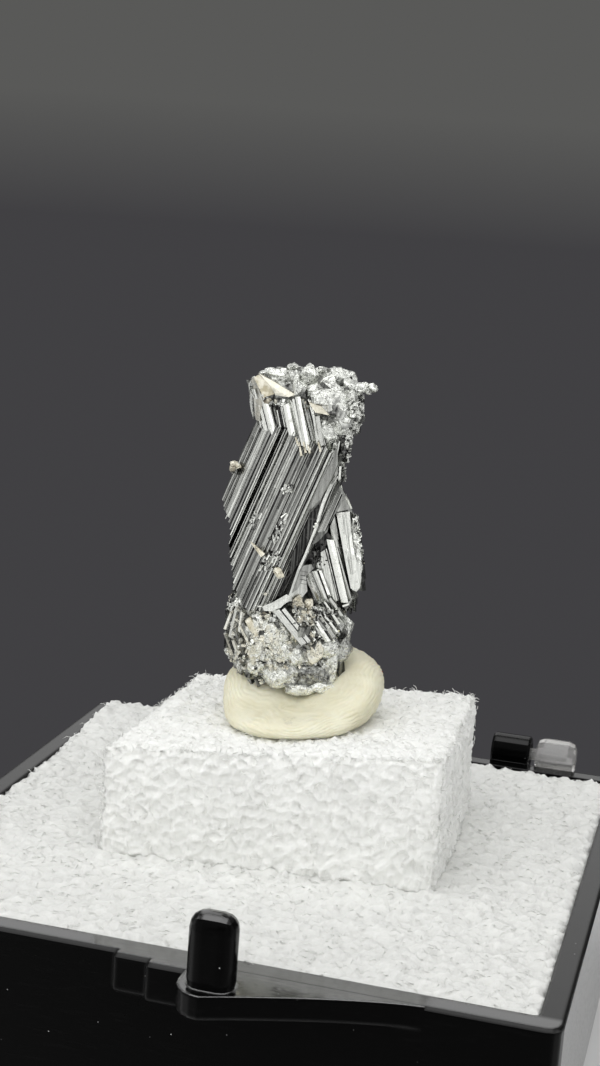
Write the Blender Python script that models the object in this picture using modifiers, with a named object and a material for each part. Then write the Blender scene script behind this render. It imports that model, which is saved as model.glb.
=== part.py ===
"""A bournonite crystal cluster, its foot pressed in putty on a foam block, in the base of a small
hinged specimen box.

The origin is the centre of the base's underside, +Z is up and the latch side faces -Y.
The crystal is modelled upright in its own frame, in millimetres: x across, y into the depth and
z up from its foot. An empty then turns it on the putty.
"""
import math
import random

import bmesh
import bpy
from mathutils import Matrix, Vector, noise

MM = 0.001
GAP = 0.3                       # clearance between touching pieces, mm
MERGE = 0.001                   # points closer than this become one, mm

# Box base, mm
BOX = 31.75                     # outer side
BASE_HEIGHT = 9.6               # underside to rim
WALL = 1.08                     # width of the rim
FLOOR = 1.3
CORNER = 0.7
EDGE = 0.14                     # chamfer along the outer edges
TAB_LEFT = 0.35
TAB_RIGHT = 10.3
TAB_REACH = 2.75                # how far the thumb tab stands out at its left end
TAB_THICK = 1.0
TAB_CORNER = 1.25
POST_SIZE = (2.08, 1.4, 3.6)
POST_PLACE = (1.75, -17.35)
POST_RISE = 3.18
PAD_LEFTS = (-2.95, -1.4)       # where the front wall thickens, in two steps
PAD_STEP = 0.36
PAD_DEPTH = 1.75
BARREL_X = (-6.6, 8.85)         # middle of each hinge barrel
BARREL_LENGTH = 2.2
BARREL_RADIUS = 1.0
HINGE_Y = 17.2
HINGE_Z = BASE_HEIGHT + 0.2
PIN_RADIUS = 0.35
BORE_RADIUS = 0.65
PIN_LENGTH = 1.3
KNUCKLE_LENGTH = 2.3
KNUCKLE_RADIUS = 1.02

# Foam and putty, mm
LINER_SIDE = BOX - 2 * WALL - 2 * GAP
LINER_TOP = BASE_HEIGHT
BLOCK_CORNERS = ((-7.6, -6.1, 5.15), (8.5, -4.35, 6.5), (7.95, 7.7, 6.1), (-7.15, 7.3, 5.25))
BLOCK_WOBBLE = 0.12             # how far the knife strayed from the block's flat faces
PUTTY_CENTRE = (0.05, 1.1)
PUTTY_RADII = (4.05, 3.95)
PUTTY_LEAN = 0.62               # how much higher the blob is at its back than at its front
PUTTY_HEIGHT = 2.15
PUTTY_HOLLOW = (-0.45, 0.95, 3.4, 2.95)    # the foot's print: centre x, centre y and two radii

# Crystal frame, mm and degrees
CRYSTAL_PLACE = (-0.5, 1.0, BASE_HEIGHT + 7.0)
CRYSTAL_TURN = 14.3
BODY_LEAN = 20.0                # the striated body leans right
CAP_LEAN = -17.9                # its twin above leans left
CAP_FACE = ((-2.85, -0.6, 15.55), (-0.6, -1.15, 14.9), (-2.1, -1.4, 14.6))    # on its front face

parts = bpy.data.collections.new("bournonite_specimen")
shapes = bpy.data.collections.new("cutters")
crystals = bpy.data.collections.new("crystals")
dice = random.Random(9)


def clear_scene():
    for old in list(bpy.data.objects):
        bpy.data.objects.remove(old, do_unlink=True)
    bpy.context.scene.collection.children.link(parts)
    bpy.context.scene.collection.children.link(shapes)


def material(name, colour, roughness, metallic=0.0):
    made = bpy.data.materials.new(name)
    made.use_nodes = True
    shader = made.node_tree.nodes["Principled BSDF"]
    shader.inputs["Base Color"].default_value = (*colour, 1.0)
    shader.inputs["Roughness"].default_value = roughness
    shader.inputs["Metallic"].default_value = metallic
    made.diffuse_color = (*colour, 1.0)
    return made


def add_object(name, bm, collection=parts, finish=None):
    bmesh.ops.recalc_face_normals(bm, faces=bm.faces[:])
    mesh = bpy.data.meshes.new(name)
    bm.to_mesh(mesh)
    bm.free()
    made = bpy.data.objects.new(name, mesh)
    collection.objects.link(made)
    if finish:
        mesh.materials.append(finish)
    if collection is shapes:
        made.hide_render = True
        made.display_type = "WIRE"
    return made


def block_mesh(low, high):
    """A box between two corners, in mm."""
    bm = bmesh.new()
    bmesh.ops.create_cube(bm, size=1.0)
    low, high = Vector(low), Vector(high)
    for vert in bm.verts:
        place = [low[i] if vert.co[i] < 0 else high[i] for i in range(3)]
        vert.co = Vector(place) * MM
    return bm


def bevel(made, width, segments, angle=30.0):
    rounding = made.modifiers.new("rounding", "BEVEL")
    rounding.width = width * MM
    rounding.segments = segments
    rounding.limit_method = "ANGLE"
    rounding.angle_limit = math.radians(angle)
    return rounding


def combine(made, other, operation):
    join = made.modifiers.new(operation.lower(), "BOOLEAN")
    join.operation = operation
    join.object = other
    join.solver = "EXACT"


def cylinder_x(name, radius, low_x, high_x, y, z, segments, collection=shapes, finish=None):
    """A cylinder along X."""
    bm = bmesh.new()
    length = high_x - low_x
    bmesh.ops.create_cone(bm, cap_ends=True, segments=segments, radius1=radius * MM,
                          radius2=radius * MM, depth=length * MM)
    bmesh.ops.rotate(bm, verts=bm.verts[:], matrix=Matrix.Rotation(math.pi / 2, 3, "Y"))
    middle = Vector(((low_x + high_x) / 2, y, z)) * MM
    bmesh.ops.translate(bm, verts=bm.verts[:], vec=middle)
    return add_object(name, bm, collection, finish)


def smooth(made, angle=35.0):
    made.data.shade_smooth()
    made.data.set_sharp_from_angle(angle=math.radians(angle))


# ---------------------------------------------------------------- box base

def tab_outline():
    """The thumb tab seen from above: square left end, round corner, long taper to the right."""
    wall = -BOX / 2
    front = wall - TAB_REACH
    points = [(TAB_LEFT, wall + 0.5), (TAB_LEFT, front + TAB_CORNER)]
    for step in range(1, 6):
        turn = math.radians(18 * step)
        x = TAB_LEFT + TAB_CORNER * (1 - math.cos(turn))
        y = front + TAB_CORNER * (1 - math.sin(turn))
        points.append((x, y))
    start = TAB_LEFT + TAB_CORNER
    for step in range(1, 11):
        share = step / 10
        x = start + (TAB_RIGHT - start) * share
        points.append((x, wall - TAB_REACH * (1 - share) ** 1.35))
    points.append((TAB_RIGHT, wall + 0.5))
    return points


def extruded_outline(name, points, low_z, high_z):
    curve = bpy.data.curves.new(name, "CURVE")
    curve.dimensions = "2D"
    curve.fill_mode = "BOTH"
    curve.extrude = (high_z - low_z) / 2 * MM
    spline = curve.splines.new("POLY")
    spline.points.add(len(points) - 1)
    for point, (x, y) in zip(spline.points, points):
        point.co = (x * MM, y * MM, 0, 1)
    spline.use_cyclic_u = True
    guide = bpy.data.objects.new(name + "_curve", curve)
    shapes.objects.link(guide)
    guide.location.z = (low_z + high_z) / 2 * MM
    bpy.context.view_layer.update()
    graph = bpy.context.evaluated_depsgraph_get()
    mesh = bpy.data.meshes.new_from_object(guide.evaluated_get(graph))
    bm = bmesh.new()
    bm.from_mesh(mesh)
    bm.transform(guide.matrix_world)
    bmesh.ops.remove_doubles(bm, verts=bm.verts[:], dist=MERGE * MM)
    bpy.data.objects.remove(guide, do_unlink=True)
    return add_object(name, bm, shapes)


def rounded_box(name, low, high, width, segments):
    made = add_object(name, block_mesh(low, high), shapes)
    bevel(made, width, segments)
    return made


def make_base():
    half = BOX / 2
    black = material("black_moulding", (0.012, 0.012, 0.013), 0.12)
    base = add_object("box_base", block_mesh((-half, -half, 0), (half, half, BASE_HEIGHT)), parts, black)
    corner_edges(base)
    wall = -half
    for number, left in enumerate(PAD_LEFTS):
        reach = PAD_STEP * (number + 1)
        low = (left, wall - reach, BASE_HEIGHT - PAD_DEPTH)
        pad = rounded_box(f"pad_{number}", low, (TAB_LEFT + 0.6, wall + 0.5, BASE_HEIGHT), 0.15, 1)
        combine(base, pad, "UNION")
    tab = extruded_outline("tab", tab_outline(), BASE_HEIGHT - TAB_THICK, BASE_HEIGHT - 0.005)
    combine(base, tab, "UNION")
    combine(base, make_post(), "UNION")
    for side in (-1, 1):
        add_hinge_barrel(base, side)
    inner = half - WALL
    tray = rounded_box("tray", (-inner, -inner, FLOOR), (inner, inner, BASE_HEIGHT + 3), 0.25, 2)
    combine(base, tray, "DIFFERENCE")
    smooth(base)
    return base


def corner_edges(base):
    """Rounds the four upright corners, then chamfers the edges that are left."""
    bm = bmesh.new()
    bm.from_mesh(base.data)
    upright = [edge for edge in bm.edges if abs(edge.verts[0].co.z - edge.verts[1].co.z) > MM]
    bmesh.ops.bevel(bm, geom=upright, offset=CORNER * MM, segments=3, profile=0.5, affect="EDGES")
    bm.to_mesh(base.data)
    bm.free()
    bevel(base, EDGE, 1, angle=40.0)


def make_post():
    width, depth, height = POST_SIZE
    x, y = POST_PLACE
    top = BASE_HEIGHT + POST_RISE
    low = (x - width / 2, y - depth / 2, top - height)
    high = (x + width / 2, y + depth / 2, top)
    return rounded_box("latch_post", low, high, 0.68, 4)


def add_hinge_barrel(base, side):
    middle = BARREL_X[0 if side < 0 else 1]
    low, high = middle - BARREL_LENGTH / 2, middle + BARREL_LENGTH / 2
    name = "left" if side < 0 else "right"
    barrel = cylinder_x(f"barrel_{name}", BARREL_RADIUS, low, high, HINGE_Y, HINGE_Z, 16)
    bevel(barrel, 0.12, 1)
    web_low = (low + 0.1, BOX / 2 - 0.5, HINGE_Z - BARREL_RADIUS - 0.9)
    web = add_object(f"web_{name}", block_mesh(web_low, (high - 0.1, HINGE_Y, HINGE_Z - 0.35)), shapes)
    outer = high if side > 0 else low
    inner_end = outer - side * (PIN_LENGTH + GAP)
    ends = sorted((inner_end, outer + side * 0.5))
    bore = cylinder_x(f"bore_{name}", BORE_RADIUS, *ends, HINGE_Y, HINGE_Z, 8)
    combine(base, web, "UNION")
    combine(base, barrel, "UNION")
    combine(base, bore, "DIFFERENCE")


def make_knuckle(side):
    """A clear hinge knuckle of the lid, with the pin that turns in the base's barrel."""
    name = "lid_knuckle_left" if side < 0 else "lid_knuckle_right"
    clear = material(name + "_clear", (0.75, 0.76, 0.75), 0.08)
    start = BARREL_X[0 if side < 0 else 1] + side * (BARREL_LENGTH / 2 + GAP)
    ends = sorted((start, start + side * KNUCKLE_LENGTH))
    knuckle = cylinder_x(name, KNUCKLE_RADIUS, *ends, HINGE_Y, HINGE_Z, 16, parts, clear)
    bevel(knuckle, 0.45, 2)
    pin_ends = sorted((start - side * (PIN_LENGTH + GAP / 2), start + side * 0.5))
    pin = cylinder_x(name + "_pin", PIN_RADIUS, *pin_ends, HINGE_Y, HINGE_Z, 8)
    combine(knuckle, pin, "UNION")
    smooth(knuckle)
    return knuckle


# ---------------------------------------------------------------- foam and putty

def make_liner():
    white = material("white_foam", (0.86, 0.87, 0.86), 0.9)
    half = LINER_SIDE / 2
    liner = add_object("foam_liner", block_mesh((-half, -half, FLOOR + GAP), (half, half, LINER_TOP)),
                       parts, white)
    bevel(liner, 0.25, 2)
    return liner


def make_block():
    """The hand cut block: its plan is no rectangle and its top slopes."""
    white = material("block_foam", (0.88, 0.89, 0.88), 0.9)
    bm = bmesh.new()
    bmesh.ops.create_cube(bm, size=1.0)
    for vert in bm.verts:
        right, back = vert.co.x > 0, vert.co.y > 0
        x, y, top = BLOCK_CORNERS[(2 if back else 1) if right else (3 if back else 0)]
        z = top if vert.co.z > 0 else GAP
        vert.co = Vector((x, y, BASE_HEIGHT + z)) * MM
    bmesh.ops.subdivide_edges(bm, edges=bm.edges[:], cuts=4, use_grid_fill=True)
    lowest = (BASE_HEIGHT + GAP) * MM
    for vert in bm.verts:
        if vert.co.z > lowest + 0.1 * MM:
            vert.co += noise.noise_vector(vert.co / (3.1 * MM)) * BLOCK_WOBBLE * MM
    block = add_object("foam_block", bm, parts, white)
    bevel(block, 0.18, 1, angle=50.0)
    return block


def block_top(x, y):
    """Height of the block's top above the rim, between its four corners."""
    left, right = BLOCK_CORNERS[0], BLOCK_CORNERS[1]
    across = (x - left[0]) / (right[0] - left[0])
    deep = (y - left[1]) / (BLOCK_CORNERS[3][1] - left[1])
    front = left[2] + (right[2] - left[2]) * across
    back = BLOCK_CORNERS[3][2] + (BLOCK_CORNERS[2][2] - BLOCK_CORNERS[3][2]) * across
    return front + (back - front) * deep


def make_putty():
    """A pressed blob: flat below, round at its sides, higher at its back and right."""
    cream = material("cream_putty", (0.80, 0.76, 0.60), 0.5)
    bm = bmesh.new()
    bmesh.ops.create_uvsphere(bm, u_segments=24, v_segments=12, radius=1.0)
    for vert in bm.verts:
        ring = max(0.0, 1 - vert.co.z ** 2) ** 0.5
        swell = ring ** 0.5 / ring if ring > 0.01 else 1.0
        x = PUTTY_CENTRE[0] + vert.co.x * swell * PUTTY_RADII[0]
        y = PUTTY_CENTRE[1] + vert.co.y * swell * PUTTY_RADII[1]
        share = (vert.co.z + 1) / 2
        slope = 1 + PUTTY_LEAN * (0.55 * vert.co.y + 0.35 * vert.co.x)
        low = block_top(x, y) + GAP + BLOCK_WOBBLE
        high = low + PUTTY_HEIGHT * slope
        vert.co = Vector((x, y, BASE_HEIGHT + low + (high - low) * share)) * MM
    putty = add_object("putty", bm, parts, cream)
    combine(putty, foot_print(), "DIFFERENCE")
    smooth(putty, 60.0)
    return putty


def foot_print():
    x, y, across, deep = PUTTY_HOLLOW
    bm = bmesh.new()
    bmesh.ops.create_uvsphere(bm, u_segments=20, v_segments=10, radius=1.0)
    centre_z = CRYSTAL_PLACE[2] + 2.0
    for vert in bm.verts:
        ring = max(0.0, 1 - vert.co.z ** 2) ** 0.5
        swell = ring ** 0.4 / ring if ring > 0.01 else 1.0
        z = centre_z + vert.co.z * 2.55
        vert.co = Vector((x + vert.co.x * swell * across, y + vert.co.y * swell * deep, z)) * MM
    return add_object("foot_print", bm, shapes)


# ---------------------------------------------------------------- crystals

def lath(foot, head, width, depth, turn=0.0, foot_cut=0.0, head_cut=0.0, taper=1.0):
    """A six-sided crystal from foot to head, its broad side forward; the cuts slant its ends."""
    foot, head = Vector(foot), Vector(head)
    axis = (head - foot).normalized()
    length = (head - foot).length
    bm = bmesh.new()
    bmesh.ops.create_cone(bm, cap_ends=True, segments=6, radius1=0.5, radius2=0.5, depth=1.0)
    for vert in bm.verts:
        upper = vert.co.z > 0
        size = taper if upper else 1.0
        x, y = vert.co.x * width * size / 0.866, vert.co.y * depth * size
        slant = (head_cut if upper else foot_cut) * x
        vert.co = Vector((x, y, vert.co.z * length + slant))
    back = Vector((0, 1, 0))
    back = (back - axis * back.dot(axis)).normalized()
    right = back.cross(axis)
    frame = Matrix((right, back, axis)).transposed().to_4x4()
    frame = frame @ Matrix.Rotation(math.radians(turn), 4, "Z")
    frame.translation = (foot + head) / 2
    bm.transform(frame)
    keep_crystal("lath", bm)


def grain(centre, size, stretch=1.0):
    """A small blocky crystal turned at random."""
    bm = bmesh.new()
    bmesh.ops.create_cube(bm, size=1.0)
    sides = Vector((size, size * dice.uniform(0.6, 0.9), size * stretch * dice.uniform(0.8, 1.2)))
    for vert in bm.verts:
        narrow = 0.55 if vert.co.z > 0 else 1.0
        vert.co = Vector((vert.co.x * sides.x * narrow, vert.co.y * sides.y * narrow, vert.co.z * sides.z))
    turn = Matrix.Rotation(dice.uniform(0, math.tau), 4, "Z") @ Matrix.Rotation(dice.uniform(0, 3.1), 4, "X")
    turn.translation = Vector(centre)
    bm.transform(turn)
    keep_crystal("grain", bm)


def lump(centre, radii, ragged, detail=2):
    """A faceted mass, the ground that smaller crystals grow from."""
    bm = bmesh.new()
    bmesh.ops.create_icosphere(bm, subdivisions=detail, radius=1.0)
    for vert in bm.verts:
        grow = 1 + dice.uniform(-ragged, ragged)
        vert.co = Vector([vert.co[i] * radii[i] * grow + centre[i] for i in range(3)])
    keep_crystal("lump", bm)


def keep_crystal(kind, bm):
    bm.transform(Matrix.Scale(MM, 4))
    add_object(f"{kind}_{len(crystals.objects) + 1:03d}", bm, crystals)


def leaning(across, z, lean, y):
    """The point at height z on a line that leans by some degrees and passes through x = across/cos."""
    angle = math.radians(lean)
    return ((across + z * math.sin(angle)) / math.cos(angle), y, z)


def body_foot(across):
    """Height where the body's lamellae end below: a chisel at the left, then steps down."""
    if across < -5.9:
        return 9.7 + (across + 6.72) * -1.5
    return 8.0 - (across + 5.7) * 2.2 if across < -4.5 else 4.4


def body_front():
    """Upright lamellae of the striated body, left to right: across, width, y, head z, turn."""
    rows = (
        (-6.74, 0.30, -0.30, 12.9, -10),
        (-6.44, 0.38, -0.72, 13.2, -14),
        (-6.06, 0.44, -1.00, 13.35, -20),
        (-5.66, 0.42, -1.18, 13.1, 10),
        (-5.26, 0.46, -1.42, 13.0, -12),
        (-4.88, 0.34, -1.30, 12.95, 24),
        (-4.54, 0.44, -1.62, 12.9, -18),
        (-4.14, 0.36, -1.50, 12.75, 14),
        (-3.78, 0.40, -1.74, 12.6, -10),
        (-3.40, 0.42, -1.58, 12.4, 18),
        (-3.02, 0.42, -1.76, 12.2, -16),
        (-2.70, 0.30, -1.56, 12.2, 12),
    )
    for across, width, y, high, turn in rows:
        foot = leaning(across, body_foot(across) + dice.uniform(-0.15, 0.25), BODY_LEAN, y + 0.6)
        head = leaning(across, high, BODY_LEAN, y + 0.6)
        lath(foot, head, width * 1.12, 1.3, turn, dice.uniform(-0.8, 0.2), dice.uniform(-0.5, 0.5))


def body_back():
    """The body's far side: lamellae of like width whose lengths step up and down."""
    for number in range(12):
        across = -6.6 + number * 0.37
        bulge = 1.0 - ((number - 6) / 8.5) ** 2
        low = body_foot(across) + dice.uniform(0.1, 0.9)
        high = 13.0 - number * 0.07 + dice.uniform(-0.5, 0.2)
        y = 1.45 * bulge + dice.uniform(-0.15, 0.15)
        foot = leaning(across, low, BODY_LEAN, y - 0.6)
        head = leaning(across, high, BODY_LEAN, y - 0.6)
        lath(foot, head, 0.44, 1.3, dice.uniform(-25, 25), dice.uniform(-0.8, 0.2), dice.uniform(-0.5, 0.5))


def body_core():
    foot = leaning(-4.35, 4.9, BODY_LEAN, 0.0)
    head = leaning(-4.4, 12.6, BODY_LEAN, 0.0)
    lath(foot, head, 4.1, 2.2, 0, -1.9, -0.1)
    lath(leaning(-3.3, 2.5, BODY_LEAN, 0.1), leaning(-3.3, 8.0, BODY_LEAN, 0.1), 1.7, 2.3, 0)


def cap_front():
    """The twin's lamellae, left to right: across, width, y, foot z, head z, turn."""
    rows = (
        (2.12, 0.36, -0.55, 13.15, 15.0, -30),
        (2.32, 0.36, -0.95, 12.95, 14.55, -12),
        (2.62, 0.34, -1.18, 12.80, 14.40, 16),
        (2.92, 0.30, -1.02, 12.85, 14.35, -24),
        (3.22, 0.40, -1.32, 12.65, 14.55, 10),
        (3.56, 0.34, -1.46, 12.35, 14.75, -14),
        (3.88, 0.38, -1.56, 11.95, 14.90, -6),
        (4.20, 0.30, -1.40, 12.10, 14.70, 18),
        (4.52, 0.36, -1.28, 12.15, 14.30, -12),
        (4.86, 0.34, -1.10, 12.25, 14.00, 14),
    )
    for across, width, y, low, high, turn in rows:
        foot = leaning(across, low, CAP_LEAN, y + 0.6)
        head = leaning(across, high, CAP_LEAN, y + 0.6)
        lath(foot, head, width * 1.12, 1.3, turn, dice.uniform(-0.4, 0.4), dice.uniform(-0.3, 0.3))


def cap_back():
    for number in range(9):
        across = 2.1 + number * 0.41
        y = 1.25 - 0.035 * (number - 4) ** 2
        foot = leaning(across, 12.1 + dice.uniform(-0.3, 0.4), CAP_LEAN, y - 0.5)
        head = leaning(across, 14.6 + dice.uniform(-0.4, 0.4), CAP_LEAN, y - 0.5)
        lath(foot, head, 0.48, 1.2, dice.uniform(-25, 25), dice.uniform(-0.4, 0.4), dice.uniform(-0.4, 0.4))


def cut_flat(bm, point, normal):
    """Cuts away what lies beyond a plane and closes the cut with one flat face."""
    everything = bm.verts[:] + bm.edges[:] + bm.faces[:]
    cut = bmesh.ops.bisect_plane(bm, geom=everything, plane_co=point, plane_no=normal, clear_outer=True)
    rim = [item for item in cut["geom_cut"] if isinstance(item, bmesh.types.BMEdge)]
    bmesh.ops.holes_fill(bm, edges=rim)


def cap_core():
    """The cap's body, whose head is cut by one broad face in front and by one that falls behind."""
    bm = bmesh.new()
    bmesh.ops.create_cone(bm, cap_ends=True, segments=6, radius1=0.5, radius2=0.5, depth=1.0)
    bmesh.ops.rotate(bm, verts=bm.verts[:], matrix=Matrix.Rotation(math.radians(30), 3, "Z"))
    foot, head = leaning(3.5, 12.0, CAP_LEAN, 0.0), leaning(3.5, 16.2, CAP_LEAN, 0.0)
    for vert in bm.verts:
        vert.co = Vector((vert.co.x * 3.5, vert.co.y * 2.3, vert.co.z * 4.4))
    frame = Matrix.Rotation(math.radians(CAP_LEAN), 4, "Y")
    frame.translation = (Vector(foot) + Vector(head)) / 2
    bm.transform(frame)
    left, right, lowest = (Vector(point) for point in CAP_FACE)
    normal = (right - left).cross(lowest - left).normalized()
    cut_flat(bm, left, normal if normal.z > 0 else -normal)
    cut_flat(bm, left, Vector((0.12, 0.45, 1.0)).normalized())
    keep_crystal("cap", bm)


def crust(centre, radii, count, low, high, keep):
    """Grains spread evenly over an egg-shaped mass, where keep says that they grow."""
    for number in range(count):
        z = 1 - 2 * (number + 0.5) / count
        ring = (1 - z * z) ** 0.5
        swing = number * 2.399963
        way = Vector((ring * math.cos(swing), ring * math.sin(swing), z))
        size = dice.uniform(low, high)
        if keep(way):
            place = [centre[i] + way[i] * radii[i] for i in range(3)]
            grain(place, size, dice.uniform(0.8, 1.5))


def cap_crust():
    """Small bright crystals that crowd the top and the right flank of the cap."""
    flank, crown = (0.9, 0.1, 14.2), (-0.75, 0.45, 15.0)
    lump(flank, (1.5, 1.2, 1.7), 0.07)
    lump(crown, (1.45, 0.95, 0.85), 0.07)
    crust(flank, (1.5, 1.22, 1.74), 80, 0.38, 0.62, lambda way: way.x > -0.35 and way.z > -0.8)
    crust(crown, (1.5, 1.0, 0.9), 56, 0.32, 0.52, lambda way: way.z > 0.25 and way.x < 0.75)
    for x, z in ((0.9, 15.95), (1.35, 16.0), (1.6, 15.85), (1.68, 11.6), (1.62, 11.2), (1.55, 10.8),
                 (1.70, 12.0)):
        grain((x, -0.1, z), 0.42)
    lath((1.9, 0.0, 15.4), (3.08, -0.1, 15.32), 0.36, 0.4, 20, 0, 0.5, 0.75)
    lath((1.0, -1.05, 14.75), (1.7, -0.95, 13.5), 0.85, 0.7, 10, 0.2, -0.2)
    lath((0.35, -1.25, 14.2), (1.35, -1.2, 13.75), 0.42, 0.5, 0, 0, 0, 0.5)


def ridge_blade():
    """A thin blade whose sharp edge faces forward, with a smooth face on each side."""
    lean = BODY_LEAN
    lath(leaning(-2.2, 4.9, lean, -0.75), leaning(-2.2, 11.0, lean, -0.75), 0.36, 2.3, 0, 0.5, 0.9)
    lath(leaning(-1.75, 6.9, lean, 0.15), leaning(-2.25, 10.7, lean, 0.15), 0.85, 1.5, 12, 0.6, -0.7)
    lath(leaning(-2.62, 8.9, lean, -0.35), leaning(-2.58, 12.2, lean, -0.35), 0.66, 1.6, -8, 0.6, 0.2)


def right_blade():
    """The long tablet on the right, rounded below and pointed above."""
    lath((2.86, 0.05, 5.45), (2.0, 0.05, 9.5), 0.5, 0.75, -16, 0.35, -0.9, 0.75)
    lath((3.0, 0.36, 5.36), (2.45, 0.3, 8.9), 0.62, 1.15, 22, -0.3, -1.4, 0.8)
    lath((2.86, 0.75, 5.5), (2.15, 0.7, 9.4), 0.66, 0.8, 8, 0.3, -1.0, 0.7)
    lath((2.2, 0.5, 7.4), (1.6, 0.3, 10.2), 0.75, 1.3, 12, 0.5, -0.5)


def fan():
    """Bright laths that spread down to the lower right, below a dark hollow."""
    rows = (
        (0.35, 6.35, 1.15, 4.6, -0.95, 0.40, -18),
        (0.72, 6.30, 1.50, 4.7, -0.80, 0.34, 12),
        (1.02, 6.90, 1.85, 4.6, -0.62, 0.40, -10),
        (1.20, 7.35, 2.20, 4.6, -0.50, 0.36, 20),
        (1.42, 7.80, 2.55, 4.55, -0.72, 0.36, -14),
        (1.75, 7.60, 2.75, 4.9, -0.10, 0.50, 14),
    )
    for head_x, head_z, foot_x, foot_z, y, width, turn in rows:
        lath((foot_x, y + 0.35, foot_z), (head_x, y + 0.45, head_z), width * 1.1, 1.0, turn,
             dice.uniform(-0.5, 0.5), dice.uniform(-0.6, 0.2))
    lath((0.9, 0.6, 3.8), (0.8, 0.7, 6.6), 2.2, 1.6, 0, 0.2, 0.3)
    lath((0.9, 1.3, 4.2), (1.1, 1.1, 9.0), 1.9, 1.2, 0, 0.2, -0.2)


def foot_mass():
    lump((-0.25, 0.2, 2.15), (2.7, 2.1, 2.3), 0.06)
    lump((-2.1, 0.1, 2.9), (1.25, 1.35, 1.7), 0.08)
    lump((1.7, 0.3, 3.05), (1.15, 1.4, 1.5), 0.08)
    lump((1.25, 0.2, 1.3), (1.1, 1.5, 1.3), 0.08)
    rows = (
        (-0.66, 4.45, 0.35, 2.75, -1.95, 0.40, -15),
        (-0.38, 4.55, 0.80, 2.65, -1.90, 0.42, 14),
        (0.05, 4.45, 1.15, 2.80, -1.75, 0.34, -12),
        (1.00, 4.60, 1.75, 3.20, -1.50, 0.34, 12),
        (1.30, 4.45, 2.15, 2.90, -1.40, 0.36, -16),
        (1.60, 4.20, 2.45, 3.20, -1.25, 0.32, 10),
        (-2.45, 3.75, -1.65, 2.35, -1.75, 0.42, -12),
        (-2.00, 4.10, -1.20, 2.60, -1.85, 0.40, 12),
        (-2.75, 3.40, -2.05, 1.80, -1.45, 0.40, -10),
        (-3.08, 3.95, -3.05, 2.20, -0.60, 0.46, -25),
        (-2.80, 4.50, -2.90, 2.60, -0.20, 0.50, 15),
    )
    for head_x, head_z, foot_x, foot_z, y, width, turn in rows:
        lath((foot_x, y + 0.4, foot_z), (head_x, y + 0.4, head_z), width * 1.1, 1.0, turn,
             dice.uniform(-0.5, 0.5), dice.uniform(-0.5, 0.5))


def foot_grains():
    """Blocky grains over the foot, whose outline narrows below."""
    for number in range(54):
        height = 0.25 + 4.0 * dice.random()
        swing = number * 2.399963
        swell = 0.66 + 0.34 * math.sin(math.pi / 2 * min(1.0, (height + 0.2) / 3.0))
        x = -0.2 + (2.66 if math.cos(swing) < 0 else 2.45) * swell * math.cos(swing)
        y = 0.15 + 2.1 * swell * math.sin(swing)
        grain((x, y, height), dice.uniform(0.32, 0.62), 1.1)


def attached_bits():
    """Single small crystals stuck to the body's faces."""
    lath((-2.35, -1.75, 7.2), (-1.8, -1.85, 6.75), 0.22, 0.3, 0, 0, 0, 0.6)
    grain((-0.92, -2.05, 6.05), 0.34)
    grain((-3.42, -0.55, 11.1), 0.42)
    grain((-3.36, -0.5, 10.75), 0.26)
    grain((-3.0, -1.0, 6.3), 0.28)
    grain((0.28, -1.75, 4.6), 0.42)
    grain((0.62, -1.7, 4.4), 0.36)


def make_crystal():
    steel = material("bournonite_metal", (0.42, 0.43, 0.42), 0.22, 1.0)
    bpy.context.scene.collection.children.link(crystals)
    body_core()
    body_front()
    body_back()
    cap_core()
    cap_front()
    cap_back()
    cap_crust()
    ridge_blade()
    right_blade()
    fan()
    foot_mass()
    foot_grains()
    attached_bits()
    stand = bpy.data.objects.new("crystal_stand", None)
    parts.objects.link(stand)
    stand.location = Vector(CRYSTAL_PLACE) * MM
    stand.rotation_euler.z = math.radians(CRYSTAL_TURN)
    members = sorted(crystals.objects, key=lambda item: item.name)
    for member in members:
        member.parent = stand
        member.hide_render = True
        member.display_type = "WIRE"
    bm = bmesh.new()
    bm.from_mesh(members[0].data)
    crystal = add_object("bournonite", bm, parts, steel)
    crystal.parent = stand
    fuse = crystal.modifiers.new("grown_together", "BOOLEAN")
    fuse.operation = "UNION"
    fuse.operand_type = "COLLECTION"
    fuse.collection = crystals
    fuse.solver = "EXACT"
    keep_outer_skin(crystal)
    return crystal


def keep_outer_skin(made):
    """Applies the union and drops the small closed hollows left between the crystals."""
    bpy.context.view_layer.update()
    graph = bpy.context.evaluated_depsgraph_get()
    bm = bmesh.new()
    bm.from_mesh(bpy.data.meshes.new_from_object(made.evaluated_get(graph)))
    bmesh.ops.triangulate(bm, faces=bm.faces[:])
    islands = []
    waiting = set(bm.faces)
    while waiting:
        front = [waiting.pop()]
        island = set(front)
        while front:
            for edge in front.pop().edges:
                for face in edge.link_faces:
                    if face in waiting:
                        waiting.remove(face)
                        island.add(face)
                        front.append(face)
        islands.append(island)
    outer = max(islands, key=len)
    inner = [face for face in bm.faces if face not in outer]
    bmesh.ops.delete(bm, geom=inner, context="FACES")
    made.modifiers.clear()
    bm.to_mesh(made.data)
    bm.free()


clear_scene()
make_base()
make_knuckle(-1)
make_knuckle(1)
make_liner()
make_block()
make_putty()
make_crystal()
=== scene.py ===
"""The looks of the bournonite specimen: striated metallic crystals on putty and white foam, in the
glossy black base of a small display box.

Everything is placed in millimetres and made in metres. The crystals are laid out in their own
frame, x across, y into the depth and z up from the foot, which is then turned on the putty.
"""
import math
import random

import bmesh
import bpy
import numpy as np
from mathutils import Matrix, Vector, noise


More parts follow.
